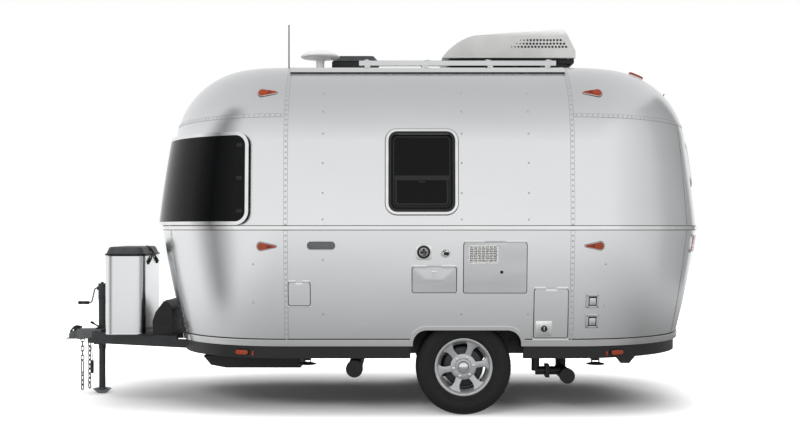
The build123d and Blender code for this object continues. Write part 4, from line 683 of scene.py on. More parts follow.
# %% Rivets
RIVET_PITCH = 38.0
RIB_HEIGHTS = (711.0, 866.0, 1085.0, 1362.0, 1543.0, 1749.0, 1950.0, 2105.0, 2240.0)
RIB_RIVETS = {STREET: (-350.0, 600.0, 1058.0), KERB: (330.0, 1058.0)}
CAP_RIVETS = ((-830.0, 1056.0), (-834.0, 790.0), (1590.0, 1056.0), (1584.0, 769.0))
KEEP_CLEAR = (  # side, x and z ranges that a window, door or hatch takes up
    (STREET, 60, 600, 1380, 2000), (STREET, 560, 1110, 820, 1230), (STREET, 1080, 1350, 500, 900),
    (KERB, 440, 970, 1380, 2000),
)
HEAD_UP = (0.3, 0.2, 0.9)        # any direction that no rivet points in
ON_SHEET, ON_LAP = 0.2, LAP_THICK + 0.3
# Each rivet sits on a flat grey ring wider than its head: sealant, and painted shade round the head.
sealant_and_shade_ring = turned(((0, 0.5), (6.4, 0.5), (6.9, -0.5), (0, -0.5)), steps=8)
rivet = turned(((0, 2.2), (2.4, 1.9), (4.6, 0.5), (4.9, -0.8), (0, -0.8)), steps=8)

spots = [(*spot, ON_LAP) for path in lap_paths for spot in along_path(path, RIVET_PITCH)]
spots += [(*wall(x, z, side), ON_SHEET)
          for side, columns in RIB_RIVETS.items() for x in columns for z in RIB_HEIGHTS
          if not any(s == side and x0 < x < x1 and z0 < z < z1 for s, x0, x1, z0, z1 in KEEP_CLEAR)]
spots += [(*wall(x, z, side), ON_SHEET) for x, z in CAP_RIVETS for side in BOTH]
print("rivets:", len(spots))
for pattern, name, look in ((rivet, "rivets", BRIGHT), (sealant_and_shade_ring, "rivet_sealant", SEALED_AND_SHADED)):
    place([copy(pattern, stand(point + normal * lift, normal, HEAD_UP)) for point, normal, lift in spots],
          name, look, smooth=50)
    bpy.data.objects.remove(pattern)

# %% [markdown]
# ## Windows
# The side windows open in two halves: a fixed upper pane and a slider below, in black sashes, behind an
# anodised frame. A black rubber gasket lies between frame and pane. The pieces are drawn flat, with
# points all along their edges, and then laid on the wall so that they follow its curve.

# %% Gaskets and sashes
STRAIGHT_STEP = 45.0


def divided(points, longest=STRAIGHT_STEP):
    """An outline with extra points on its long straight runs, so that it can follow a curve."""
    result = []
    for (x0, y0), (x1, y1) in zip(points, points[1:] + points[:1]):
        pieces = max(1, math.ceil(math.hypot(x1 - x0, y1 - y0) / longest))
        result += [(x0 + (x1 - x0) * i / pieces, y0 + (y1 - y0) * i / pieces) for i in range(pieces)]
    return result


SIDE_WINDOWS = ((STREET, 327.0, 1688.0), (KERB, 700.0, 1688.0))
PANE_LENGTH, PANE_HEIGHT, PANE_CORNER = 449.0, 542.0, 55.0
SASH_BAR_UP, SASH_BAR_HEIGHT, SASH_LOW = -42.0, 34.0, -7.0
SLIDER_HEIGHT = PANE_HEIGHT / 2 + SASH_BAR_UP - 42

sashes = []
for side, x, z in SIDE_WINDOWS:
    edge = divided(oblong(PANE_LENGTH - 54, PANE_HEIGHT - 54, PANE_CORNER - 22))
    slider = divided(oblong(PANE_LENGTH - 82, SLIDER_HEIGHT, 24, at=(0, SASH_BAR_UP - SLIDER_HEIGHT / 2)))
    rail = divided(oblong(PANE_LENGTH - 58, SASH_BAR_HEIGHT, 3, at=(0, SASH_BAR_UP)))
    pull = oblong(46, 12, 5, at=(0, SASH_BAR_UP - 26))
    for flat in (ring(edge, 9, 6, SASH_LOW, rounded=1.5), ring(slider, 13, 5, SASH_LOW, rounded=1.2),
                 plate(rail, 7, SASH_LOW), plate(pull, 8, SASH_LOW, rounded=2)):
        sashes.append(drape_on_wall(flat, x, z, side))
place(sashes, "window_sashes", BLACK)

# %% [markdown]
# ## Hatches on the street wall
# Three of the four hatches sit in a rolled aluminium bead. The storage hatch is pressed into a low
# pyramid to stiffen it, the appliance door carries a louvred grille, and the utility hatch has a lock on
# a plate. All this could be cut into the panels, but as pieces laid on them it is easier to change. It
# rides on its panel, so it swings with it; the beads stay on the wall.

# %% Beads round the hatches
HATCHES = {  # x and z of the middle, length, height
    "small_hatch": (-513.0, 850.0, 146.0, 160.0),
    "storage_hatch": (413.0, 948.0, 300.0, 176.0),
    "appliance_door": (830.0, 1030.0, 430.0, 346.0),
    "utility_hatch": (1216.0, 715.0, 230.0, 340.0),
}
BEADS = {  # width, height, corner
    "small_hatch": (9, 4.5, 24), "storage_hatch": (9, 4.0, 16), "utility_hatch": (11, 6.0, 20)}
BEAD_GAP = 5.0            # between a panel and its bead
HATCH_FACE = 3.0          # the panels stand this far proud of the wall

beads = []
for name, (width, height, corner) in BEADS.items():
    x, z, length, tall = HATCHES[name]
    edge = divided(oblong(length + 2 * (BEAD_GAP + width), tall + 2 * (BEAD_GAP + width), corner))
    beads.append(drape_on_wall(ring(edge, width, height + 1, -1, rounded=height * 0.55, segments=3), x, z))
place(beads, "hatch_beads", BRIGHT)


def on_hatch(pieces, body, name, look, across=0.0, up=0.0, smooth=35):
    """Lays flat pieces on a hatch panel, at a place from the panel's middle, and has them ride on it."""
    x, z = HATCHES[body][:2]
    flat = moved(join(pieces), (0, 0, HATCH_FACE))
    place(drape_on_wall(flat, x + across, z + up), name, look, body, smooth=smooth)


# %% Small hatch: a round lock
lock = [turned(((0, 5), (9, 5), (12, 3.5), (13, 0), (13, -1), (0, -1)), 24),
        block((3, 14, 3), (0, 0, 5), rounded=0.8)]
on_hatch(lock, "small_hatch", "small_hatch_lock", BLACK, 44, -14)

# %% Storage hatch: a pressed pyramid and a ring pull
PYRAMID_SIZE, PYRAMID_RIDGE, PYRAMID_RISE = (282.0, 158.0), (58.0, 6.0), 9.0
pyramid = fresh(bpy.ops.mesh.primitive_grid_add, x_subdivisions=24, y_subdivisions=16, size=1)
for vertex in pyramid.data.vertices:
    x, y = (vertex.co[axis] * PYRAMID_SIZE[axis] for axis in (0, 1))
    slope = min(*((size / 2 - abs(at)) / (size / 2 - ridge)
                  for at, size, ridge in zip((x, y), PYRAMID_SIZE, PYRAMID_RIDGE)), 1)
    vertex.co = Vector((x, y, 0.6 + PYRAMID_RISE * slope)) * MM
apply(pyramid, "SOLIDIFY", thickness=1.2 * MM, offset=-1.0)
on_hatch([pyramid], "storage_hatch", "storage_hatch_pressing", SATIN, smooth=20)
pull_ring = fresh(bpy.ops.mesh.primitive_torus_add, major_radius=11 * MM, minor_radius=2.2 * MM,
                  major_segments=28, minor_segments=10)
edit(pull_ring)
choose_faces(lambda centre: centre.y < 0)
bpy.ops.transform.translate(value=(0, -14 * MM, 0))
close_edit()
pull_plate = plate(oblong(34, 16, 4, at=(0, 10)), 5, 3, rounded=1.5)
on_hatch([moved(pull_ring, (0, 0, 8)), pull_plate], "storage_hatch", "storage_hatch_pull", TRIM, -2, 46)

# %% Appliance door: grille, burner hole and screws
GRILLE_AT, GRILLE_LENGTH, GRILLE_TALL, GRILLE_RIM = (-82.0, 96.0), 204.0, 128.0, 10.0
SLATS, DIVIDERS = 9, 6
clear_length, clear_tall = GRILLE_LENGTH - 2 * GRILLE_RIM, GRILLE_TALL - 2 * GRILLE_RIM
grille = [ring(oblong(GRILLE_LENGTH, GRILLE_TALL, 6), GRILLE_RIM, 9, rounded=2.0)]
grille += [block((clear_length + 2, 8.5, 1.4), (0, ((index + 0.5) / SLATS - 0.5) * clear_tall, 4),
                 (-38, 0, 0), rounded=0.4, segments=1) for index in range(SLATS)]
grille += [block((4.5, clear_tall + 2, 6), (((index + 1) / (DIVIDERS + 1) - 0.5) * clear_length, 0, 4.5),
                 segments=1) for index in range(DIVIDERS)]
# A black plate behind the slats stands in for the shade in the opening behind the grille.
grille_shade = plate(oblong(clear_length + 4, clear_tall + 4, 4), 1.0, 0.2, rounded=0.3, segments=1)
# The burner hole is a black disc in a low rim: painted shade inside the hole.
hole_shade = turned(((0, 1.0), (7.5, 1.0), (8.5, 2.2), (10.5, 2.2), (11.5, 0.8), (11.5, -1), (0, -1)), 24)
screws = [moved(screw_head(5, 2.5), (across, up, 0))
          for across, up in ((31, 143), (-205, -162), (205, -162), (-205, 162), (205, 162))]
screws += [moved(plate(oblong(26, 10, 3), 4, rounded=1), (across, -166, 0)) for across in (-180, 180)]
for pieces, name, look, at in (
    (grille, "appliance_grille", ("satin_aluminium", white_paint), GRILLE_AT),
    ([grille_shade], "appliance_grille_backing", BLACK, GRILLE_AT),
    ([hole_shade], "appliance_burner_hole", BLACK, (44, -28)),
    (screws, "appliance_screws", TRIM, (0, 0)),
):
    on_hatch(pieces, "appliance_door", name, look, *at)

# %% Utility hatch: lock plate and cam lock
for piece, name, look, at in (
    (plate(oblong(116, 108, 8), 2.5, rounded=1.0), "utility_lock_plate", BRIGHT, (-48, -104)),
    (turned(((0, 4), (20, 4), (22, 9), (28, 9), (31, 6), (31, 2), (0, 2)), 40), "utility_lock_ring", TRIM,
     (-46, -104)),
    (turned(((0, 7), (17, 7), (20.5, 5), (20.5, 3), (0, 3)), 32), "utility_lock_cylinder", BLACK,
     (-46, -104)),
    (block((7, 26, 4), (0, 0, 8), rounded=1.5), "utility_lock_key_slot", TRIM, (-46, -104)),
):
    on_hatch([piece], "utility_hatch", name, look, *at)

# %% [markdown]
# ## Inlets, vents and the blank nameplate
# The power inlet is a round socket with a locking ring on a square cast plate; beside it sits a smaller
# round signal inlet with a flip cap. The two furnace vents are square hoods. The nameplate is an
# enamelled pill in a bright rim, left without a name. Castings don't bend, so these pieces aren't laid
# on the curve point by point: each stays flat and leans with the wall.

# %% Power and signal inlets
SOCKET_AT, SIGNAL_AT, CAST = (340.0, 1140.0), (489.0, 1137.0), ("satin_aluminium", bright_trim)
corners = [(across, up, 7) for across in (-42, 42) for up in (-42, 42)]
socket_plate = [plate(oblong(110, 110, 22), 7, rounded=3, segments=3),
                *(moved(screw_head(5, 3), corner) for corner in corners),
                turned(((43, 6), (46, 11), (50, 11), (52, 6)), 48)]
place(on_wall(join(socket_plate), *SOCKET_AT), "power_inlet_plate", CAST)
socket = [turned(((30, 7), (30, 14), (34, 17), (42, 17), (44, 13), (44, 7)), 48),
          turned(((0, 7), (24, 7), (26, 10), (27, 6), (0, 6)), 36)]
socket += [moved(turned(((0, 12), (5.5, 12), (6.5, 10), (6.5, 6), (0, 6)), 16), (*polar(13, 120 * pin), 0))
           for pin in range(3)]
socket += [moved(block((11, 6, 7), (0, 37, 16), rounded=1.2), turn_z=45 + 90 * lug) for lug in range(4)]
place(on_wall(join(socket), *SOCKET_AT), "power_inlet_socket", BLACK)
signal = turned(((0, 5), (24, 5), (27, 9), (34, 8), (36.5, 4), (36.5, -2), (0, -2)), 48)
place(on_wall(signal, *SIGNAL_AT), "signal_inlet_ring", CAST)
flip = [plate(oblong(38, 22, 9, at=(6, -8)), 7, 5, rounded=2),
        block((24, 7, 6), (-8, 10, 8), (0, 0, 25), rounded=1.5)]
place(on_wall(join(flip), *SIGNAL_AT), "signal_inlet_flip_cap", BLACK)

# %% Furnace vents and nameplate
VENTS_AT = ((1500.0, 802.0), (1500.0, 663.0))
for number, at in enumerate(VENTS_AT, 1):
    vent = [ring(oblong(88, 96, 7), 15, 13, rounded=3),
            block((70, 9, 20), (0, 40, 9), (18, 0, 0), rounded=2.5),
            plate(oblong(46, 50, 5, at=(2, -3)), 5, 2, rounded=1.5)]
    place(on_wall(join(vent), *at), f"furnace_vent_{number}", SATIN, replaced="side_fittings")
    # A black plate inside each vent stands in for the shade in its opening.
    dark = plate(oblong(66, 72, 3), 1.6, 0.4, rounded=0.3, segments=1)
    place(on_wall(dark, *at), f"furnace_vent_{number}_recess_shade", BLACK)

PLATE_AT = (-361.0, 1184.0)
grey_enamel = finish("grey_vitreous_enamel", "#56595C", "#606366", 0.0, (0.22, 0.28), 60, 4.0, 0.02)
pill = plate(oblong(196, 56, 27, 10), 3.0, 1.0)
place(on_wall(pill, *PLATE_AT), "blank_nameplate", ("satin_aluminium", grey_enamel))
pill_rim = ring(oblong(206, 66, 32, 10), 6, 5.5, -0.5, rounded=1.8)
place(on_wall(pill_rim, *PLATE_AT), "blank_nameplate_rim", TRIM)

# %% [markdown]
# ## Lamps
# The clearance lamps are teardrops, blunt end outward: a chrome bezel cast to the curve of the shell and
# an orange lens with a ridged, darker point. The tail lamps are clusters with a red and an amber lens in
# a chrome surround. All are laid on the shell point by point, because their bases follow its curve.

# %% Laying a flat piece on the rear cap, and the teardrop lamp
def drape_on_end(piece, turn, z):
    """Lays a flat piece on the rear cap, square to a ray turned (degrees) about the middle of its seam."""
    out = Vector((math.cos(math.radians(turn)), math.sin(math.radians(turn)), 0))
    right = Vector((0, 0, 1)).cross(out)
    return lay(piece, lambda across, up: inward(Vector((REAR_SEAM, 0, z + up)) + right * across, out))


def teardrop(length, height, way):
    """Outline of a teardrop whose blunt end points along way (+1 or -1 across)."""
    blunt, tip = height / 2, height / 6
    points = [(length / 2 - blunt + blunt * math.cos(a), blunt * math.sin(a))
              for a in (math.radians(-84 + 14 * step) for step in range(13))]
    points += [(-length / 2 + tip + tip * math.cos(a), tip * math.sin(a))
               for a in (math.radians(105 + 25 * step) for step in range(7))]
    points = divided(points, 16)
    return points if way > 0 else [(-x, y) for x, y in reversed(points)]


def lamp(way, lens_height=9.0):
    """Bezel, lens and dark ridged point of one clearance lamp, drawn flat."""
    bezel = ring(teardrop(LAMP_LENGTH, LAMP_HEIGHT, way), 4.5, 7, BASE_LOW, rounded=1.8, segments=3)
    bed = ring(teardrop(LAMP_LENGTH + 7, LAMP_HEIGHT + 7, way), 6, 2.6, BASE_LOW)
    lens = plate(teardrop(LAMP_LENGTH - 9, LAMP_HEIGHT - 9, way), lens_height, 0.2, rounded=3.5, segments=3)
    ridges = [block((3.2, 24 - 4.6 * index, 5), (-way * (6 + 8.5 * index), 0, lens_height - 1.2), rounded=1.2)
              for index in range(4)]
    return bezel, lens, join([*ridges, bed])


# %% Clearance lamps
LAMP_LENGTH, LAMP_HEIGHT, BASE_LOW = 136.0, 60.0, -0.6
SIDE_LAMPS = ((-745.0, 2246.0), (1520.0, 2246.0), (-735.0, 1178.0), (1510.0, 1182.0))
REAR_LAMPS, REAR_LAMP_Z = (-14.0, 0.0, 14.0), 2330.0
lamps = [[drape_on_wall(piece, x, z, side) for piece in lamp(-side if x > 0 else side)]
         for x, z in SIDE_LAMPS for side in BOTH]
lamps += [[drape_on_end(piece, turn, REAR_LAMP_Z) for piece in lamp(1)] for turn in REAR_LAMPS]
bezels, lenses, points = (list(pieces) for pieces in zip(*lamps))
place(bezels, "clearance_lamp_bezels", TRIM)
place(lenses, "clearance_lamp_lenses", ORANGE, replaced="lamps")
place(points, "clearance_lamp_ridges", BLACK)

# %% Tail lamps, the number plate's holder and the lamp over it
TAIL_TURN, TAIL_Z, TAIL_LENGTH, TAIL_TALL = 27.0, 1190.0, 196.0, 134.0
HOLDER_Z, PLATE_LAMP_Z = 1180.0, 1244.0
surrounds, reds, ambers = [], [], []
for turn in (-TAIL_TURN, TAIL_TURN):
    for group, flat in (
        (surrounds, ring(divided(oblong(TAIL_LENGTH, TAIL_TALL, 30)), 9, 9, BASE_LOW, rounded=3, segments=3)),
        (surrounds, plate(divided(oblong(TAIL_LENGTH - 16, 8, 2, 2, at=(0, -14))), 8, rounded=1.5)),
        (reds, plate(divided(oblong(TAIL_LENGTH - 20, 68, 18, at=(0, 23))), 7, 0.3, rounded=2.5)),
        (ambers, plate(divided(oblong(TAIL_LENGTH - 20, 38, 16, at=(0, -37))), 7, 0.3, rounded=2.5)),
    ):
        group.append(drape_on_end(flat, turn, TAIL_Z))
surrounds.append(drape_on_end(plate(divided(oblong(120, 22, 6)), 7, 3, rounded=2.5), 0, PLATE_LAMP_Z))
holder = [plate(divided(oblong(320, 150, 12)), 3, 0.3),
          *(block((10, 130, 3), (across, 0, 3)) for across in (-152, 152))]
place([drape_on_end(piece, 0, HOLDER_Z) for piece in holder], "number_plate_holder", BLACK)
place(surrounds, "tail_lamp_surrounds", TRIM)
place(reds, "tail_lamp_red_lenses", ("amber_lens", red_lens))
place(ambers, "tail_lamp_amber_lenses", ("amber_lens", amber_lens))

# %% [markdown]
# Low on the sill sit two oblong side lamps in rubber grommets, each with a narrow reflector. The sill
# is the painted skirt under the shell, set in from it, so a ray at the skirt gives their place.

# %% Sill lamps and reflectors
SILL_LAMPS = ((-922.0, 440.0), (1690.0, 438.0))
REFLECTORS = ((-845.0, 436.0), (1614.0, 433.0))
SILL_LENGTH, SILL_TALL = 109.0, 46.0


def on_sill(places, name, look, draw):
    """Stands one drawn piece on the skirt at each place, on both sides of the caravan."""
    pieces = []
    for x, z in places:
        for side in BOTH:
            start, aim = Vector((x, side * 2500, z)) * MM, Vector((0, -side, 0))
            _, point, normal, _ = NODES["floor"].ray_cast(start, aim)
            pieces.append(draw())
            pieces[-1].data.transform(stand(point / MM, normal))
    place(pieces, name, look)


on_sill(SILL_LAMPS, "sill_lamp_grommets", BLACK,
        lambda: ring(oblong(SILL_LENGTH, SILL_TALL, 21), 7, 9, -1, rounded=3, segments=3))
on_sill(SILL_LAMPS, "sill_lamp_lenses", ORANGE,
        lambda: plate(oblong(SILL_LENGTH - 12, SILL_TALL - 12, 15), 12, rounded=5, segments=3))
on_sill(REFLECTORS, "sill_reflectors", ORANGE, lambda: plate(oblong(12, 30, 3), 4, -0.5, rounded=1.2))

# %% [markdown]
# ## Wheels
# Each wheel is one aluminium casting: a spun rim with a lip, and a face of six spokes, narrow halfway
# out and flared where they join rim and hub. One spoke is drawn as a polar outline and copied round.
# The face is dished, so the spokes fall away towards the hub.

# %% Wheel castings
WHEELS = {"left": (621, -962.5, 334), "right": (621, 962.5, 334)}
SPOKES, SPOKE_START = 6, 9.0
SPOKE_EDGE = (  # radius in mm, half angle in degrees
    (58, 27), (80, 17), (105, 11.4), (130, 9.2), (150, 10), (165, 12.5), (178, 16.5), (186, 22), (190, 26))
SPOKE_FACE, SPOKE_DEPTH, DISH = 66.0, 26.0, 0.13
RIM_PROFILE = (
    (201, 82), (203, 78), (201, 74), (190, 70), (183, 58), (168, 40), (168, -52), (183, -66), (190, -74),
    (201, -78), (201, -83), (192, -82), (180, -72), (162, -58), (160, 44), (176, 66), (184, 79), (192, 83))
HUB_PROFILE = ((40, 52), (52, 50), (56, 55), (80, 56), (90, 52), (92, 26), (40, 26))
DRUM_PROFILE = ((0, 24), (128, 24), (138, 18), (142, 10), (142, -30), (134, -36), (0, -36))
NUT_CIRCLE, NUT_RADIUS = 69.85, 12.5
CAP_PROFILE = ((0, 66), (16, 65), (28, 61), (36, 54), (38.5, 48), (38.5, 28), (0, 28))
VALVE_PROFILE = ((0, 34), (2.6, 34), (3.4, 31), (3.4, 14), (5.5, 10), (5.5, 0), (0, 0))


def spoke():
    """One spoke as a rounded plate along the Y axis."""
    edge = [polar(radius, angle) for radius, angle in SPOKE_EDGE]
    crown = [polar(193, angle) for angle in (27, 18, 9, 0, -9, -18, -27)]
    left = [(-x, y) for x, y in reversed(edge)]
    return plate(edge + crown + left, SPOKE_DEPTH, SPOKE_FACE - SPOKE_DEPTH, rounded=7, segments=3)


def casting():
    """Rim, spokes and hub of one wheel, about the Z axis with the outer face up."""
    spokes = spun_copies(spoke(), SPOKES, SPOKE_START - 90)
    for vertex in spokes.data.vertices:
        radius = vertex.co.xy.length / MM
        vertex.co.z -= (190 - min(radius, 190)) * DISH * MM
    return join([spokes, turned(RIM_PROFILE, 96), turned(HUB_PROFILE, 48)])


def nuts_and_cap():
    """Six chromed nuts in a circle round a domed cap."""
    hexagon = [polar(NUT_RADIUS, 30 + 60 * corner) for corner in range(6)][::-1]
    nut = plate(hexagon, 17, 50, rounded=3.0, segments=3)
    return join([spun_copies(moved(nut, (NUT_CIRCLE, 0, 0)), SPOKES, SPOKE_START), turned(CAP_PROFILE, 40)])


for side, centre in WHEELS.items():
    for name, piece, look in (
        ("casting", casting(), ("wheel_alloy", wheel_silver)),
        ("nuts_and_cap", nuts_and_cap(), ("wheel_alloy", bright_trim)),
        ("drum", turned(DRUM_PROFILE, 48), ("frame_paint", frame_paint)),
        ("valve", moved(turned(VALVE_PROFILE, 12), (*polar(160, 39), 42)), ("tyre", tyre_rubber)),
    ):
        piece.data.transform(stand(centre, (0, math.copysign(1, centre[1]), 0)))
        place(piece, f"wheel_{side}_{name}", look, "wheel_" + side, replaced="wheel_" + side)

# %% [markdown]
# A tyre is spun from its section: bead, bulged sidewall with two moulded ridges, shoulder and crown.
# The tread blocks are separate slanted plates, one per rib, copied round the crown, and the outer ones
# lean over the shoulder, so the tread shows as notches in the outline as it does on a real tyre.

# %% Tyres
TYRE_HALF = ((196, 76), (204, 85), (221, 91), (225, 94.5), (230, 93.5), (248, 101), (268, 105.8),
             (284, 107.2), (288, 105.2), (302, 103.6), (312, 99.5), (320, 93), (325, 84), (326.5, 60),
             (327, 20))
TREAD_PITCHES = 66
TREAD_RIBS = (  # place across, width, slant, radius of the foot, lean in degrees
    (-78.0, 30.0, 5.0, 320.5, 17.0), (-39.0, 29.0, -7.0, 325.0, 0.0), (0.0, 27.0, 7.0, 326.0, 0.0),
    (39.0, 29.0, -7.0, 325.0, 0.0), (78.0, 30.0, 5.0, 320.5, -17.0))
BLOCK_LENGTH, BLOCK_DEPTH = 25.0, 8.0


def tread():
    """Slanted tread blocks round the crown, about the Z axis."""
    ribs = []
    for across, width, slant, foot, lean in TREAD_RIBS:
        half, long = width / 2, BLOCK_LENGTH / 2
        corners = ((-long - slant, -half), (long - slant, -half), (long + slant, half), (-long + slant, half))
        tread_block = plate(corners, BLOCK_DEPTH, rounded=1.2, segments=1)
        leaning = Matrix.Rotation(math.radians(lean), 4, "X")
        tread_block.data.transform(stand((0, foot, across), (0, 1, 0)) @ leaning)
        ribs.append(spun_copies(tread_block, TREAD_PITCHES, across * 0.7))
    return join(ribs)


for side, centre in WHEELS.items():
    section = [*TYRE_HALF, *((radius, -across) for radius, across in reversed(TYRE_HALF))]
    tyre = join([turned(section, 128), tread()])
    tyre.data.transform(stand(centre, (0, math.copysign(1, centre[1]), 0)))
    place(tyre, f"tyre_{side}_carcass_and_tread", ("tyre", tyre_rubber), "wheel_" + side, "tyre_" + side, 40)

# %% [markdown]
# ## Drawbar gear
# At the nose are a pressed coupler, a side-wind jack, two safety chains and the breakaway switch. Rods and
# chain are bent from round bar, so the tool for them rolls a grid into a bar along a path.

# %% Bent bar
def bar(path, radius, sides=12):
    """A round bar along points in mm: a grid rolled round the path, its ends capped."""
    points = [Vector(point) for point in path]
    last = len(points) - 1
    piece = fresh(bpy.ops.mesh.primitive_grid_add, x_subdivisions=last, y_subdivisions=sides, size=1)
    frames, side = [], None
    for index in range(last + 1):
        along = (points[min(index + 1, last)] - points[max(index - 1, 0)]).normalized()
        side = along.orthogonal() if side is None else side - along * side.dot(along)
        side.normalize()
        frames.append((points[index], side.copy(), along.cross(side)))
    for vertex in piece.data.vertices:
        middle, right, up = frames[round((vertex.co.x + 0.5) * last)]
        angle = 2 * math.pi * (vertex.co.y + 0.5)
        vertex.co = (middle + (right * math.cos(angle) + up * math.sin(angle)) * radius) * MM
    edit(piece)
    bpy.ops.mesh.remove_doubles(threshold=0.02 * MM)
    bpy.ops.mesh.fill_holes(sides=0)
    close_edit()
    return piece


def rounded_path(corners, bend, steps=6):
    """Corner points with each inner corner replaced by a curve that starts a bend length before it."""
    corners = [Vector(corner) for corner in corners]
    path = [corners[0]]
    for before, corner, after in zip(corners, corners[1:], corners[2:]):
        start = corner + (before - corner).normalized() * min(bend, (before - corner).length / 2)
        end = corner + (after - corner).normalized() * min(bend, (after - corner).length / 2)
        for step in range(steps + 1):
            share = step / steps
            path.append(start.lerp(corner, share).lerp(corner.lerp(end, share), share))
    return path + [corners[-1]]


def bent(corners, bend, radius, sides=12):
    """A round bar bent at its corners."""
    return bar(rounded_path(corners, bend), radius, sides)


def upended(piece, at=(0, 0, 0), turn_z=0.0):
    """Stands a plate drawn in X and Z on its edge, then turns and moves it."""
    piece.data.transform(Matrix.Rotation(math.radians(90), 4, "X"))
    return moved(piece, at, turn_z)


# %% [markdown]
# The coupler is a forged ball cup welded into a folded plate that caps both drawbar beams. Its side
# flanges run back along the beams and rise towards the jack, where the plate takes the jack's flange.
# Folded sheet is drawn as the maker cuts it, as flat outlines that are extruded and turned into place.

# %% Coupler
NOSE_X, HITCH_X, COUPLER_LOW, PLATE_TOP = -2470.0, -2408.0, 430.0, 509.0
PLATE_X, PLATE_HALF, FLANGE_TURN, LIP_RADIUS = -2372.0, 36.0, 19.5, 38.0
grey_primer = finish("grey_chassis_enamel", "#4C4F51", "#5A5D5F", 0.0, (0.34, 0.44), 60, 2.5, 0.05)
lip = [(NOSE_X + LIP_RADIUS * (1 - math.cos(a)), -LIP_RADIUS * math.sin(a))
       for a in (math.radians(turn) for turn in range(-80, 81, 20))]
cup = ((26, 0), (36, 0), (36, 30), (33, 44), (25, 55), (13, 61), (0, 62),
       (0, 51), (10, 50), (20, 43), (26, 28))
top = [(PLATE_X, -PLATE_HALF), (-2250, -66), (-2151, -112), (-2151, 112), (-2250, 66), (PLATE_X, PLATE_HALF)]
flange_edge = ((0, PLATE_TOP), (0, 430), (47, 424), (134, 446), (194, 462), (221, 486), (221, PLATE_TOP))
parts = [moved(turned(cup, 40), (HITCH_X, 0, COUPLER_LOW)),
         plate(lip + [(-2325, 46), (-2325, -46)], 5, COUPLER_LOW, rounded=1),
         block((70, 76, 64), (-2352, 0, COUPLER_LOW + 32), rounded=8, segments=3),
         plate(top, 5, PLATE_TOP - 5, rounded=1.5)]
for side in BOTH:
    flange = plate(flange_edge, 5, -2.5, rounded=1.5)
    parts.append(upended(flange, (PLATE_X, side * PLATE_HALF, 0), side * FLANGE_TURN))
    for x, across in ((-2290, 62), (-2215, 89)):
        bolt = turned(((0, 7), (8, 7), (9, 5), (9, 0), (12, 0), (12, -2), (0, -2)), 12)
        bolt.data.transform(stand((x, side * across, 478), (-side * 0.35, side, 0)))
        parts.append(bolt)
place(parts, "coupler_pressing", ("coupler_paint", grey_primer), replaced="coupler")
handle = [bent(((-2428, 0, 486), (-2412, 0, 512), (-2385, 0, 530), (-2340, 0, 520)), 14, 8),
          block((52, 22, 34), (-2378, 0, 506), rounded=6, segments=3),
          block((14, 30, 14), (-2428, 0, 489), rounded=5)]
place(handle, "coupler_handle", BLACK, replaced="coupler_latch")

# %% [markdown]
# The jack is a black steel tube with a gear head. The leg slides out of it on a dished, zinc-plated foot;
# the crank is bent from one bright bar and ends in a black grip. Nearly all of it is round, so it is
# spun from profiles about the middle of the jack.

# %% Jack
JACK_X, CRANK_Z, GRIP_Z = -2180.0, 828.0, 713.0
HEAD_PROFILES = (
    ((0, 846), (28, 846), (31, 840), (31, 744), (29, 738), (0, 738)),
    ((0, 866), (20, 866), (29, 861), (32, 850), (32, 838), (0, 838)))
FLANGE_PROFILE = ((0, 523), (34, 523), (37, 519), (37, 511), (0, 511))
DISH_PROFILE = ((0, 0), (34, 0), (40, 3), (68, 30), (72, 31), (72, 34), (66, 35), (38, 9), (30, 9),
                (29, 44), (0, 46))
PAINTED = "black_metal", frame_paint


def on_jack(profile, steps=40):
    """A part turned about the middle of the jack."""
    return moved(turned(profile, steps), (JACK_X, 0, 0))


head = [on_jack(profile) for profile in HEAD_PROFILES]
head += [on_jack(FLANGE_PROFILE, 32), block((84, 96, 6), (JACK_X, 0, 512), rounded=2)]
head += [moved(screw_head(8, 8), (JACK_X + x, y, 515)) for x in (-30, 30) for y in (-36, 36)]
grip = turned(((0, 0), (9, 0), (13, 4), (13.5, 20), (12, 45), (13.5, 78), (12, 86), (0, 88)), 24)
grip.data.transform(Matrix.Rotation(math.radians(-90), 4, "Y"))
crank = ((-2207, 0, CRANK_Z), (-2238, 0, CRANK_Z), (-2264, 0, GRIP_Z + 2), (-2292, 0, GRIP_Z))
lever = [bent(((-2165, -44, 516), (-2200, -44, 530), (-2250, -44, 560)), 12, 6),
         block((30, 24, 16), (-2246, -44, 558), (0, 28, 0), rounded=4)]
foot = [on_jack(DISH_PROFILE), bar(((JACK_X - 34, 0, 30), (JACK_X + 34, 0, 30)), 4.5)]
place(head, "jack_gear_head", PAINTED)
place(on_jack(((28.4, 768), (29.8, 768), (29.8, 756), (28.4, 756))), "jack_tube_band", ZINC)
place(bent(crank, 16, 5.5), "jack_crank_rod", ZINC, "jack_crank", "jack_crank")
place(moved(grip, (-2283, 0, GRIP_Z)), "jack_crank_grip", BLACK, "jack_crank")
place(on_jack(((0, 540), (24.8, 540), (24.8, 40), (0, 40))), "jack_leg_tube", PAINTED, "jack_leg", "jack_leg")
place(foot, "jack_foot", ZINC, "jack_leg")
place(lever, "jack_release_lever", BLACK)

# %% [markdown]
# The chains are welded links of 9 mm bar at a pitch of 36 mm, every second one turned a quarter. Each
# hangs from an eye on the coupler and ends in a hook. A link is a ring pulled long, which keeps its
# bar round in both bends.

# %% Safety chains
LINK_PITCH, LINK_BAR, LINK_RADIUS, LINK_STRETCH = 36.0, 4.4, 11.0, 22.0
EYE_RADIUS, EYE_BAR, EYE_STRETCH = 13.0, 3.6, 6.0
CHAINS = (  # x, y, top, links, turn, length of the hook, links below the hook
    (-2328, -30, 430, 4, 20, 96, 3), (-2288, 30, 424, 9, -35, 36, 0))


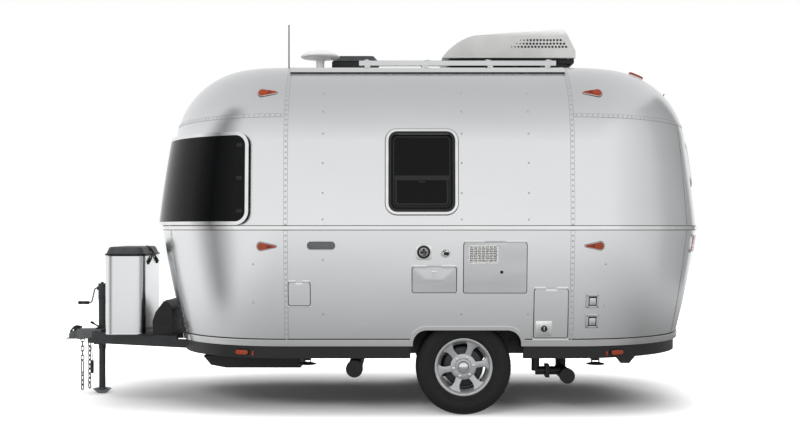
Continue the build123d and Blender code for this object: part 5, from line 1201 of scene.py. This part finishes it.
def link(stretch=LINK_STRETCH, radius=LINK_RADIUS, bar_radius=LINK_BAR):
    """One link standing in the XZ plane: a ring whose halves are moved apart."""
    piece = fresh(bpy.ops.mesh.primitive_torus_add, major_radius=radius * MM, minor_radius=bar_radius * MM,
                  major_segments=20, minor_segments=8, rotation=(math.radians(90), 0, 0))
    bpy.ops.object.transform_apply(location=True, rotation=True, scale=True)
    for vertex in piece.data.vertices:
        vertex.co.z += math.copysign(stretch / 2, vertex.co.z) * MM if abs(vertex.co.z) > 1e-6 else 0
    return piece


def chain(x, y, top, links, turn):
    """An eye and the links that hang from it, each turned a quarter from the last, and their lower end."""
    pieces = [moved(link(EYE_STRETCH, EYE_RADIUS, EYE_BAR), (x, y, top - 10), turn)]
    height = top - 10 - EYE_RADIUS
    for index in range(links):
        pieces.append(moved(link(), (x, y, height - LINK_PITCH / 2), turn + 90 * (index + 1)))
        height -= LINK_PITCH
    return pieces, height


def hook(x, y, top, long):
    """A snap hook of bent bar: down, round the bottom and back up to rest on its own leg."""
    bends = ((0, 6), (-9, -8), (-9, -long), (0, -long - 14), (8, -long - 2), (8, -20), (2, -4))
    return bent([(x + across, y, top + up) for across, up in bends], 9, 4.6)


metal = []
for x, y, top, links, turn, long, last in CHAINS:
    pieces, low = chain(x, y, top, links, turn)
    metal += pieces + [hook(x, y, low, long)]
    if last:                             # the first chain goes on below its hook
        metal += chain(x, y, low - long - 4, last, turn + 45)[0]
place(metal, "safety_chain_links", ZINC, replaced="safety_chains")
switch = [moved(turned(((0, 262), (9, 262), (11, 258), (11, 166), (8, 160), (0, 160)), 24), (-2247, -40, 0)),
          bent(((-2247, -40, 258), (-2247, -40, 330), (-2262, -46, 400), (-2262, -46, 440)), 30, 2.4, 8)]
place(switch, "breakaway_switch", BLACK)

# %% [markdown]
# ## Gas cover and battery box
# The cover is one sheet wrapped round the cylinders, with a moulded lid held by a rubber strap. The
# battery box behind it is rotomoulded, with a lipped lid, two straps and a tray. The lid's lip and the
# cover's hem follow one plan, so one outline, grown a little, draws both.

# %% Gas cover and its strap
COVER_FRONT, COVER_BACK, COVER_HALF, COVER_TOP, COVER_LOW = -2090.0, -1782.0, 300.0, 1088.0, 489.0


def cover_plan(grow, corner):
    """The cover's plan, grown all round."""
    middle, length = (COVER_FRONT + COVER_BACK) / 2, COVER_BACK - COVER_FRONT
    return oblong(length + 2 * grow, 2 * (COVER_HALF + grow), corner, 10, at=(middle, 0))


place(ring(cover_plan(4, 74), 7, 13, COVER_TOP + 5.5, rounded=3, segments=3), "gas_lid_lip",
      ("lid_plastic", black_plastic), "gas_lid")
place(ring(cover_plan(2, 72), 4, 12, COVER_LOW, rounded=1.5), "gas_cover_hem", TRIM)
strap = []
for side in BOTH:
    back = COVER_BACK + 9
    strap += [bent(((back, side * 150, 1040), (back, side * 90, 1066)), 4, 9),
              bent(((back, side * 100, 1062), (back, 0, 1110), (back - 35, 0, 1152)), 10, 7),
              block((8, 34, 30), (back - 5, side * 150, 1036), rounded=2)]
strap.append(block((40, 70, 12), (COVER_BACK - 30, 0, 1150), (0, 40, 0), rounded=4))
place(strap, "gas_lid_strap", BLACK, "gas_lid")

# %% Battery box
BOX_FRONT, BOX_BACK, BOX_HALF = -1710.0, -1560.0, 320.0
STRAP_EDGE = (  # x from the front and height of the strap's outer face, then of its inner face
    (-4, 492), (-4, 596), (19, 664), (82, 749), (117, 749), (120, 745), (84, 745), (22, 661), (0, 595),
    (0, 492))
lip = [(BOX_FRONT - 3 + x, y * (BOX_HALF + 3)) for x, y in ((0, -1), (138, -1), (138, 1), (0, 1))]
tray = block((BOX_BACK - BOX_FRONT + 130, 2 * BOX_HALF + 20, 6),
             ((BOX_FRONT + BOX_BACK) / 2 - 40, 0, 491), rounded=2)
straps = [upended(plate([(BOX_FRONT + x, z) for x, z in STRAP_EDGE], 38, -19), (0, y, 0))
          for y in (-210, 210)]
place([ring(lip, 6, 14, 580, rounded=2), tray, *straps], "battery_box_lid_and_straps", BLACK)

# %% [markdown]
# ## Mouldings
# The belt moulding has a thin black strip above and below it, and the base moulding one along the top
# of its bead: painted shadow lines along their edges. The base moulding is a flat extrusion with a bright
# half-round bead along its top, over the black sill. Rays shot inwards at one height find the way round
# the caravan; they stop at the door and the wheel arches.

# %% Level strips round the shell
def level_paths(z, steps=240):
    """Runs of points and normals round the shell at one height, broken at its openings."""
    runs, run = [], []
    for share in spaced(0, 1, steps):
        centre = FRONT_SEAM + (REAR_SEAM - FRONT_SEAM) * (0.5 - 0.5 * math.cos(2 * math.pi * share))
        angle = math.radians(180 + 360 * share)
        out, middle = Vector((math.cos(angle), -math.sin(angle), 0)), Vector((centre, 0, z))
        met = shoot(middle + out * 4000, middle)
        if met and (met[0] - middle).dot(out) > 0 and abs(met[1].z) < 0.5:
            run.append(met)
        elif run:
            runs.append(run)
            run = []
    return [run for run in runs + [run] if len(run) > 2]


def wall_run(z, side, steps=24):
    """Points and normals along the straight side wall at one height, between the seams."""
    path = [wall(x, z, side) for x in spaced(FRONT_SEAM + 6, REAR_SEAM - 6, steps)]
    return path if side == STREET else path[::-1]


BELT_Z, BELT_HALF = 1305.0, 12.5
BASE_BEAD_Z, BASE_BEAD_HEIGHT = 526.0, 18.0
LINE_HEIGHT, RAIL_LOW = 5.0, 2410.0
# Thin black strips along the belt moulding's edges and over the base bead: painted shadow lines.
lines = [lap(path, LINE_HEIGHT, thick)
         for z, thick in ((BELT_Z - BELT_HALF - 2, 4.0), (BELT_Z + BELT_HALF + 2, 4.0),
                          (BASE_BEAD_Z + BASE_BEAD_HEIGHT / 2 + 2, 3.0)) for path in level_paths(z)]
place(lines, "moulding_shadow_lines", BLACK)
place([bevel(lap(path, BASE_BEAD_HEIGHT, 13.0), 5.0, 3) for path in level_paths(BASE_BEAD_Z)],
      "base_bead", TRIM)
place([lap(wall_run(RAIL_LOW, side), 9.0, 8.0) for side in BOTH], "drip_rail_lips", BLACK)

# %% [markdown]
# The windows stand in broad rolled rings of bright aluminium with rounded outer edges. A black bed shows
# round each ring's outer edge: painted shade along that edge.
# Each ring is bevelled while it is flat and only then laid on the shell, so its width is even all round.

# %% Window rings and gaskets
RING_WIDTH, RING_PROUD = 22.0, 18.0
LIP_WIDTH, LIP_PROUD = 20.0, 16.0        # rubber lip over the frame's inner edge
FOOT = -0.5                              # what is laid on the shell starts this far in it
REAR_WINDOW_Z, REAR_WINDOW = 1790.0, (620.0, 300.0, 55.0)     # height of its middle; length, height, corner


def framed(put, length, height, corner, lip=True):
    """A bright ring round an opening, a rubber lip inside it and a black bed under it, which shows round its
    outer edge as painted shade; put lays a flat piece in place.
    """
    def around(grow):
        return divided(oblong(length + 2 * grow, height + 2 * grow, corner + grow))
    bright = ring(around(RING_WIDTH + 2), RING_WIDTH, RING_PROUD - FOOT, FOOT, rounded=6, segments=3)
    # The bed: black, showing round the ring's outer edge as painted shade.
    rubber_and_shade = [put(ring(around(RING_WIDTH + 6), 8, 3, FOOT, rounded=1))]
    if lip:
        rubber_and_shade.append(put(ring(around(4), LIP_WIDTH, LIP_PROUD - FOOT, FOOT, rounded=3, segments=3)))
    return put(bright), join(rubber_and_shade)


windows = [framed(lambda flat: drape_on_wall(flat, x, z, side), PANE_LENGTH, PANE_HEIGHT, PANE_CORNER)
           for side, x, z in SIDE_WINDOWS]
windows.append(framed(lambda flat: drape_on_end(flat, 0, REAR_WINDOW_Z), *REAR_WINDOW, lip=False))
rings, lips_and_shade_beds = (list(pieces) for pieces in zip(*windows))
place(rings, "window_rings", TRIM)
place(lips_and_shade_beds, "window_lips_and_shade_beds", BLACK)

# %% [markdown]
# ## Entrance door
# The door has a flush paddle handle with a lock, a bright bead on three sides and a rubber gasket round
# its window. There is no bead beside the hinges, where the door needs the room to fold back. All of it
# is laid on the curve of the closed door, and what is fastened on the door then rides on it.

# %% Door furniture
DOOR_X, DOOR_Z, DOOR_LENGTH, DOOR_HEIGHT = -132.0, 1346.0, 640.0, 1648.0
DOOR_WINDOW_AT, DOOR_WINDOW = (-122.0, 1750.0), (360.0, 420.0, 55.0)
HANDLE_X, HANDLE_Z, LOCK_Z = 120.0, 1190.0, 1256.0
BEAD, BEAD_OUT = 12.0, 5.0 + 12.0 / 2     # width, and its middle from the door's edge
GRAB_X, GRAB_LOW, GRAB_HIGH = 232.0, 1480.0, 1880.0


def on_door(piece, x, z, lift=0.0):
    """Lays a flat piece on the door's skin."""
    return drape_on_wall(moved(piece, (0, 0, lift)), x, z, KERB)


beads = [on_door(plate(divided(oblong(BEAD, DOOR_HEIGHT - 260, 4)), 5, FOOT, rounded=1.5),
                 DOOR_X + DOOR_LENGTH / 2 + BEAD_OUT, DOOR_Z)]
beads += [on_door(plate(divided(oblong(DOOR_LENGTH - 300, BEAD, 4)), 5, FOOT, rounded=1.5),
                  DOOR_X + 40, DOOR_Z + way * (DOOR_HEIGHT / 2 + BEAD_OUT)) for way in (1, -1)]
place(beads, "door_beads", TRIM)
door_ring, door_lip_and_shade_bed = framed(lambda flat: on_door(flat, *DOOR_WINDOW_AT), *DOOR_WINDOW)
grab = [on_door(block((16, GRAB_HIGH - GRAB_LOW, 8), (0, 0, 14), rounded=4, segments=3), GRAB_X,
                (GRAB_LOW + GRAB_HIGH) / 2)]
grab += [on_door(plate(oblong(34, 54, 14), 14, rounded=4, segments=3), GRAB_X, z)
         for z in (GRAB_LOW + 14, GRAB_HIGH - 14)]
place(grab, "door_grab_handle", TRIM)
for pieces, name, look in (
    ([door_ring], "window_ring", TRIM),
    ([door_lip_and_shade_bed], "window_bed", BLACK),
    ([on_door(plate(oblong(72, 196, 20), 6, rounded=2.5, segments=3), HANDLE_X, HANDLE_Z),
      on_door(turned(((0, 12), (15, 12), (18, 9), (18, 5), (0, 5)), 32), HANDLE_X, LOCK_Z)],
     "handle_plate", TRIM),
    ([on_door(plate(oblong(48, 92, 14), 8, rounded=3, segments=3), HANDLE_X, HANDLE_Z, 5),
      on_door(block((3, 12, 2), (0, 0, 13), rounded=0.8), HANDLE_X, LOCK_Z)], "handle_paddle", BLACK),
):
    place(pieces, "door_" + name, look, "entrance_door")

# %% [markdown]
# ## On the roof
# The air conditioner's shroud is perforated on both sides, in three rows that step back with its slope,
# and sits on a black base. The aerials are a white dome on a stem, a black whip on a spring foot and a
# small rear whip. The solar panel has dark cells under glass in a bright frame, on clamped feet. The
# perforations are thin black discs, painted shade for the dark inside the holes: cut holes of this size would
# cost far more faces.

# %% Perforations and brackets of the shroud
SHROUD_SIDE, HOLE_RADIUS = 350.0, 9.0
SMALL_HOLES = (4.5, 6.0, 7.5)            # the first holes of a row are smaller
PERFORATIONS = (  # height, first and last x, number
    (2732.0, 1096.0, 1399.0, 13), (2705.0, 1066.0, 1425.0, 15), (2681.0, 1027.0, 1440.0, 17))
hole_shades = []
# Each perforation is a thin black disc: painted shade for the inside of a hole.
for z, first, last, number in PERFORATIONS:
    for x, radius in zip(spaced(first, last, number - 1), [*SMALL_HOLES, *[HOLE_RADIUS] * number]):
        for side in BOTH:
            hole_shade = turned(((0, 0.8), (radius - 0.6, 0.8), (radius, 0.2), (radius, -1), (0, -1)), steps=12)
            hole_shade.data.transform(stand((x, side * SHROUD_SIDE, z), (0, side, 0)))
            hole_shades.append(hole_shade)
place(hole_shades, "shroud_perforation_shades", BLACK)
brackets = [block((26, 600, 34), (x, 0, 2580), rounded=4) for x in (1496, 700)]
brackets += [block((120, 14, 30), (1440, side * 318, 2572), rounded=4) for side in BOTH]
place(brackets, "shroud_brackets", BLACK)

# %% Aerials
DOME_PROFILE = ((0, 56), (50, 53), (95, 42), (128, 26), (146, 13), (146.5, 4), (138, 0), (60, -6), (36, -16),
                (31, -30), (31, -140), (0, -140))
WHIP_PROFILE = ((0, 394.5), (4.4, 393), (4.8, 70), (7, 66), (7, 50), (9, 46), (20, 30), (22, 10),
                (22, -4), (0, -4))
REAR_WHIP_PROFILE = ((0, 96), (3.6, 95), (4.0, 22), (6, 18), (9, 4), (16, 0), (16, -5), (0, -5))
dome = moved(turned(DOME_PROFILE, 56), (-428, -352, 2594))
place(dome, "television_dome", ("white_plastic", white_plastic), replaced="antennas")
rear_whip = turned(REAR_WHIP_PROFILE, 16)
foot, slope = shoot((2225, 0, 3200), (2225, 0, 0))
rear_whip.data.transform(stand(foot, slope + Vector((0, 0, 0.8)), (0, 1, 0)))
place([moved(turned(WHIP_PROFILE, 20), (-676, -250, 2473)), rear_whip], "whip_aerials", BLACK)

# %% Roof lamps: one more pair of lamps lies on the rear shoulder of the roof
ROOF_LAMP_X, ROOF_LAMP_Y, ROOF_LAMP_LENGTH, ROOF_LAMP_TALL = 1950.0, 420.0, 100.0, 44.0
for grow, height, name, look in ((8, 7, "bezels", TRIM), (0, 22, "lenses", ORANGE)):
    pair = []
    for side in BOTH:
        edge = divided(oblong(ROOF_LAMP_LENGTH + grow, ROOF_LAMP_TALL + grow, 16), 20)
        base = plate(edge, height, BASE_LOW, rounded=height / 3, segments=3)
        pair.append(lay(base, lambda along, across: shoot(
            *((ROOF_LAMP_X + along, side * ROOF_LAMP_Y + across, z) for z in (3200, 0)))))
    place(pair, "roof_lamp_" + name, look)

# %% Solar cells and clamps
PANEL_MIDDLE, PANEL_TILT = (597.0, -538.0, 2524.5), 7.0
PANEL_LENGTH, PANEL_WIDTH, PANEL_FACE = 1434.0, 326.0, 17.5
COLUMNS, ROWS, CELL_GAP = 14, 3, 4.0
cell_long, cell_wide = (PANEL_LENGTH - 40) / COLUMNS, (PANEL_WIDTH - 40) / ROWS
glass = [block((PANEL_LENGTH - 24, PANEL_WIDTH - 24, 1.0), (0, 0, PANEL_FACE + 0.4), rounded=0.3)]
glass += [block((cell_long - CELL_GAP, cell_wide - CELL_GAP, 0.8),
                ((column + 0.5 - COLUMNS / 2) * cell_long, (row + 0.5 - ROWS / 2) * cell_wide,
                 PANEL_FACE + 1.1), rounded=0.2, segments=1)
          for column in range(COLUMNS) for row in range(ROWS)]
clamps = []
for x in (-660, -220, 220, 660):
    for y in (-PANEL_WIDTH / 2 - 4, PANEL_WIDTH / 2 + 4):
        clamps += [block((44, 26, 4), (x, y * 0.985, PANEL_FACE + 2.5)),
                   moved(turned(((0, 9), (5, 9), (6.5, 7.5), (6.5, 3), (0, 3)), 6), (x, y, PANEL_FACE))]
for pieces, name, look in ((glass, "solar_cells", ("black_plastic", solar_glass)),
                           (clamps, "solar_panel_clamps", TRIM)):
    tilted = join(pieces)
    tilted.data.transform(Matrix.Rotation(math.radians(PANEL_TILT), 4, "X"))
    place(moved(tilted, PANEL_MIDDLE), name, look)

# %% [markdown]
# ## Front guard
# The tinted guard hangs on black tabs at both of its ends. They stand off the wall along its normal, so
# each leans as the wall does there.

# %% Guard tabs
TAB_X, TAB_HEIGHTS, TAB_OFF = -912.0, (1420.0, 1646.0, 1872.0), 34.0
tabs = []
for side in BOTH:
    for z in TAB_HEIGHTS:
        point, normal = wall(TAB_X, z, side)
        tab = join([block((44, 26, 6), rounded=2), block((12, 12, 9), (-8, 0, 0), rounded=2)])
        tab.data.transform(stand(point + normal * TAB_OFF, normal))
        tabs.append(tab)
place(tabs, "guard_tabs", BLACK)
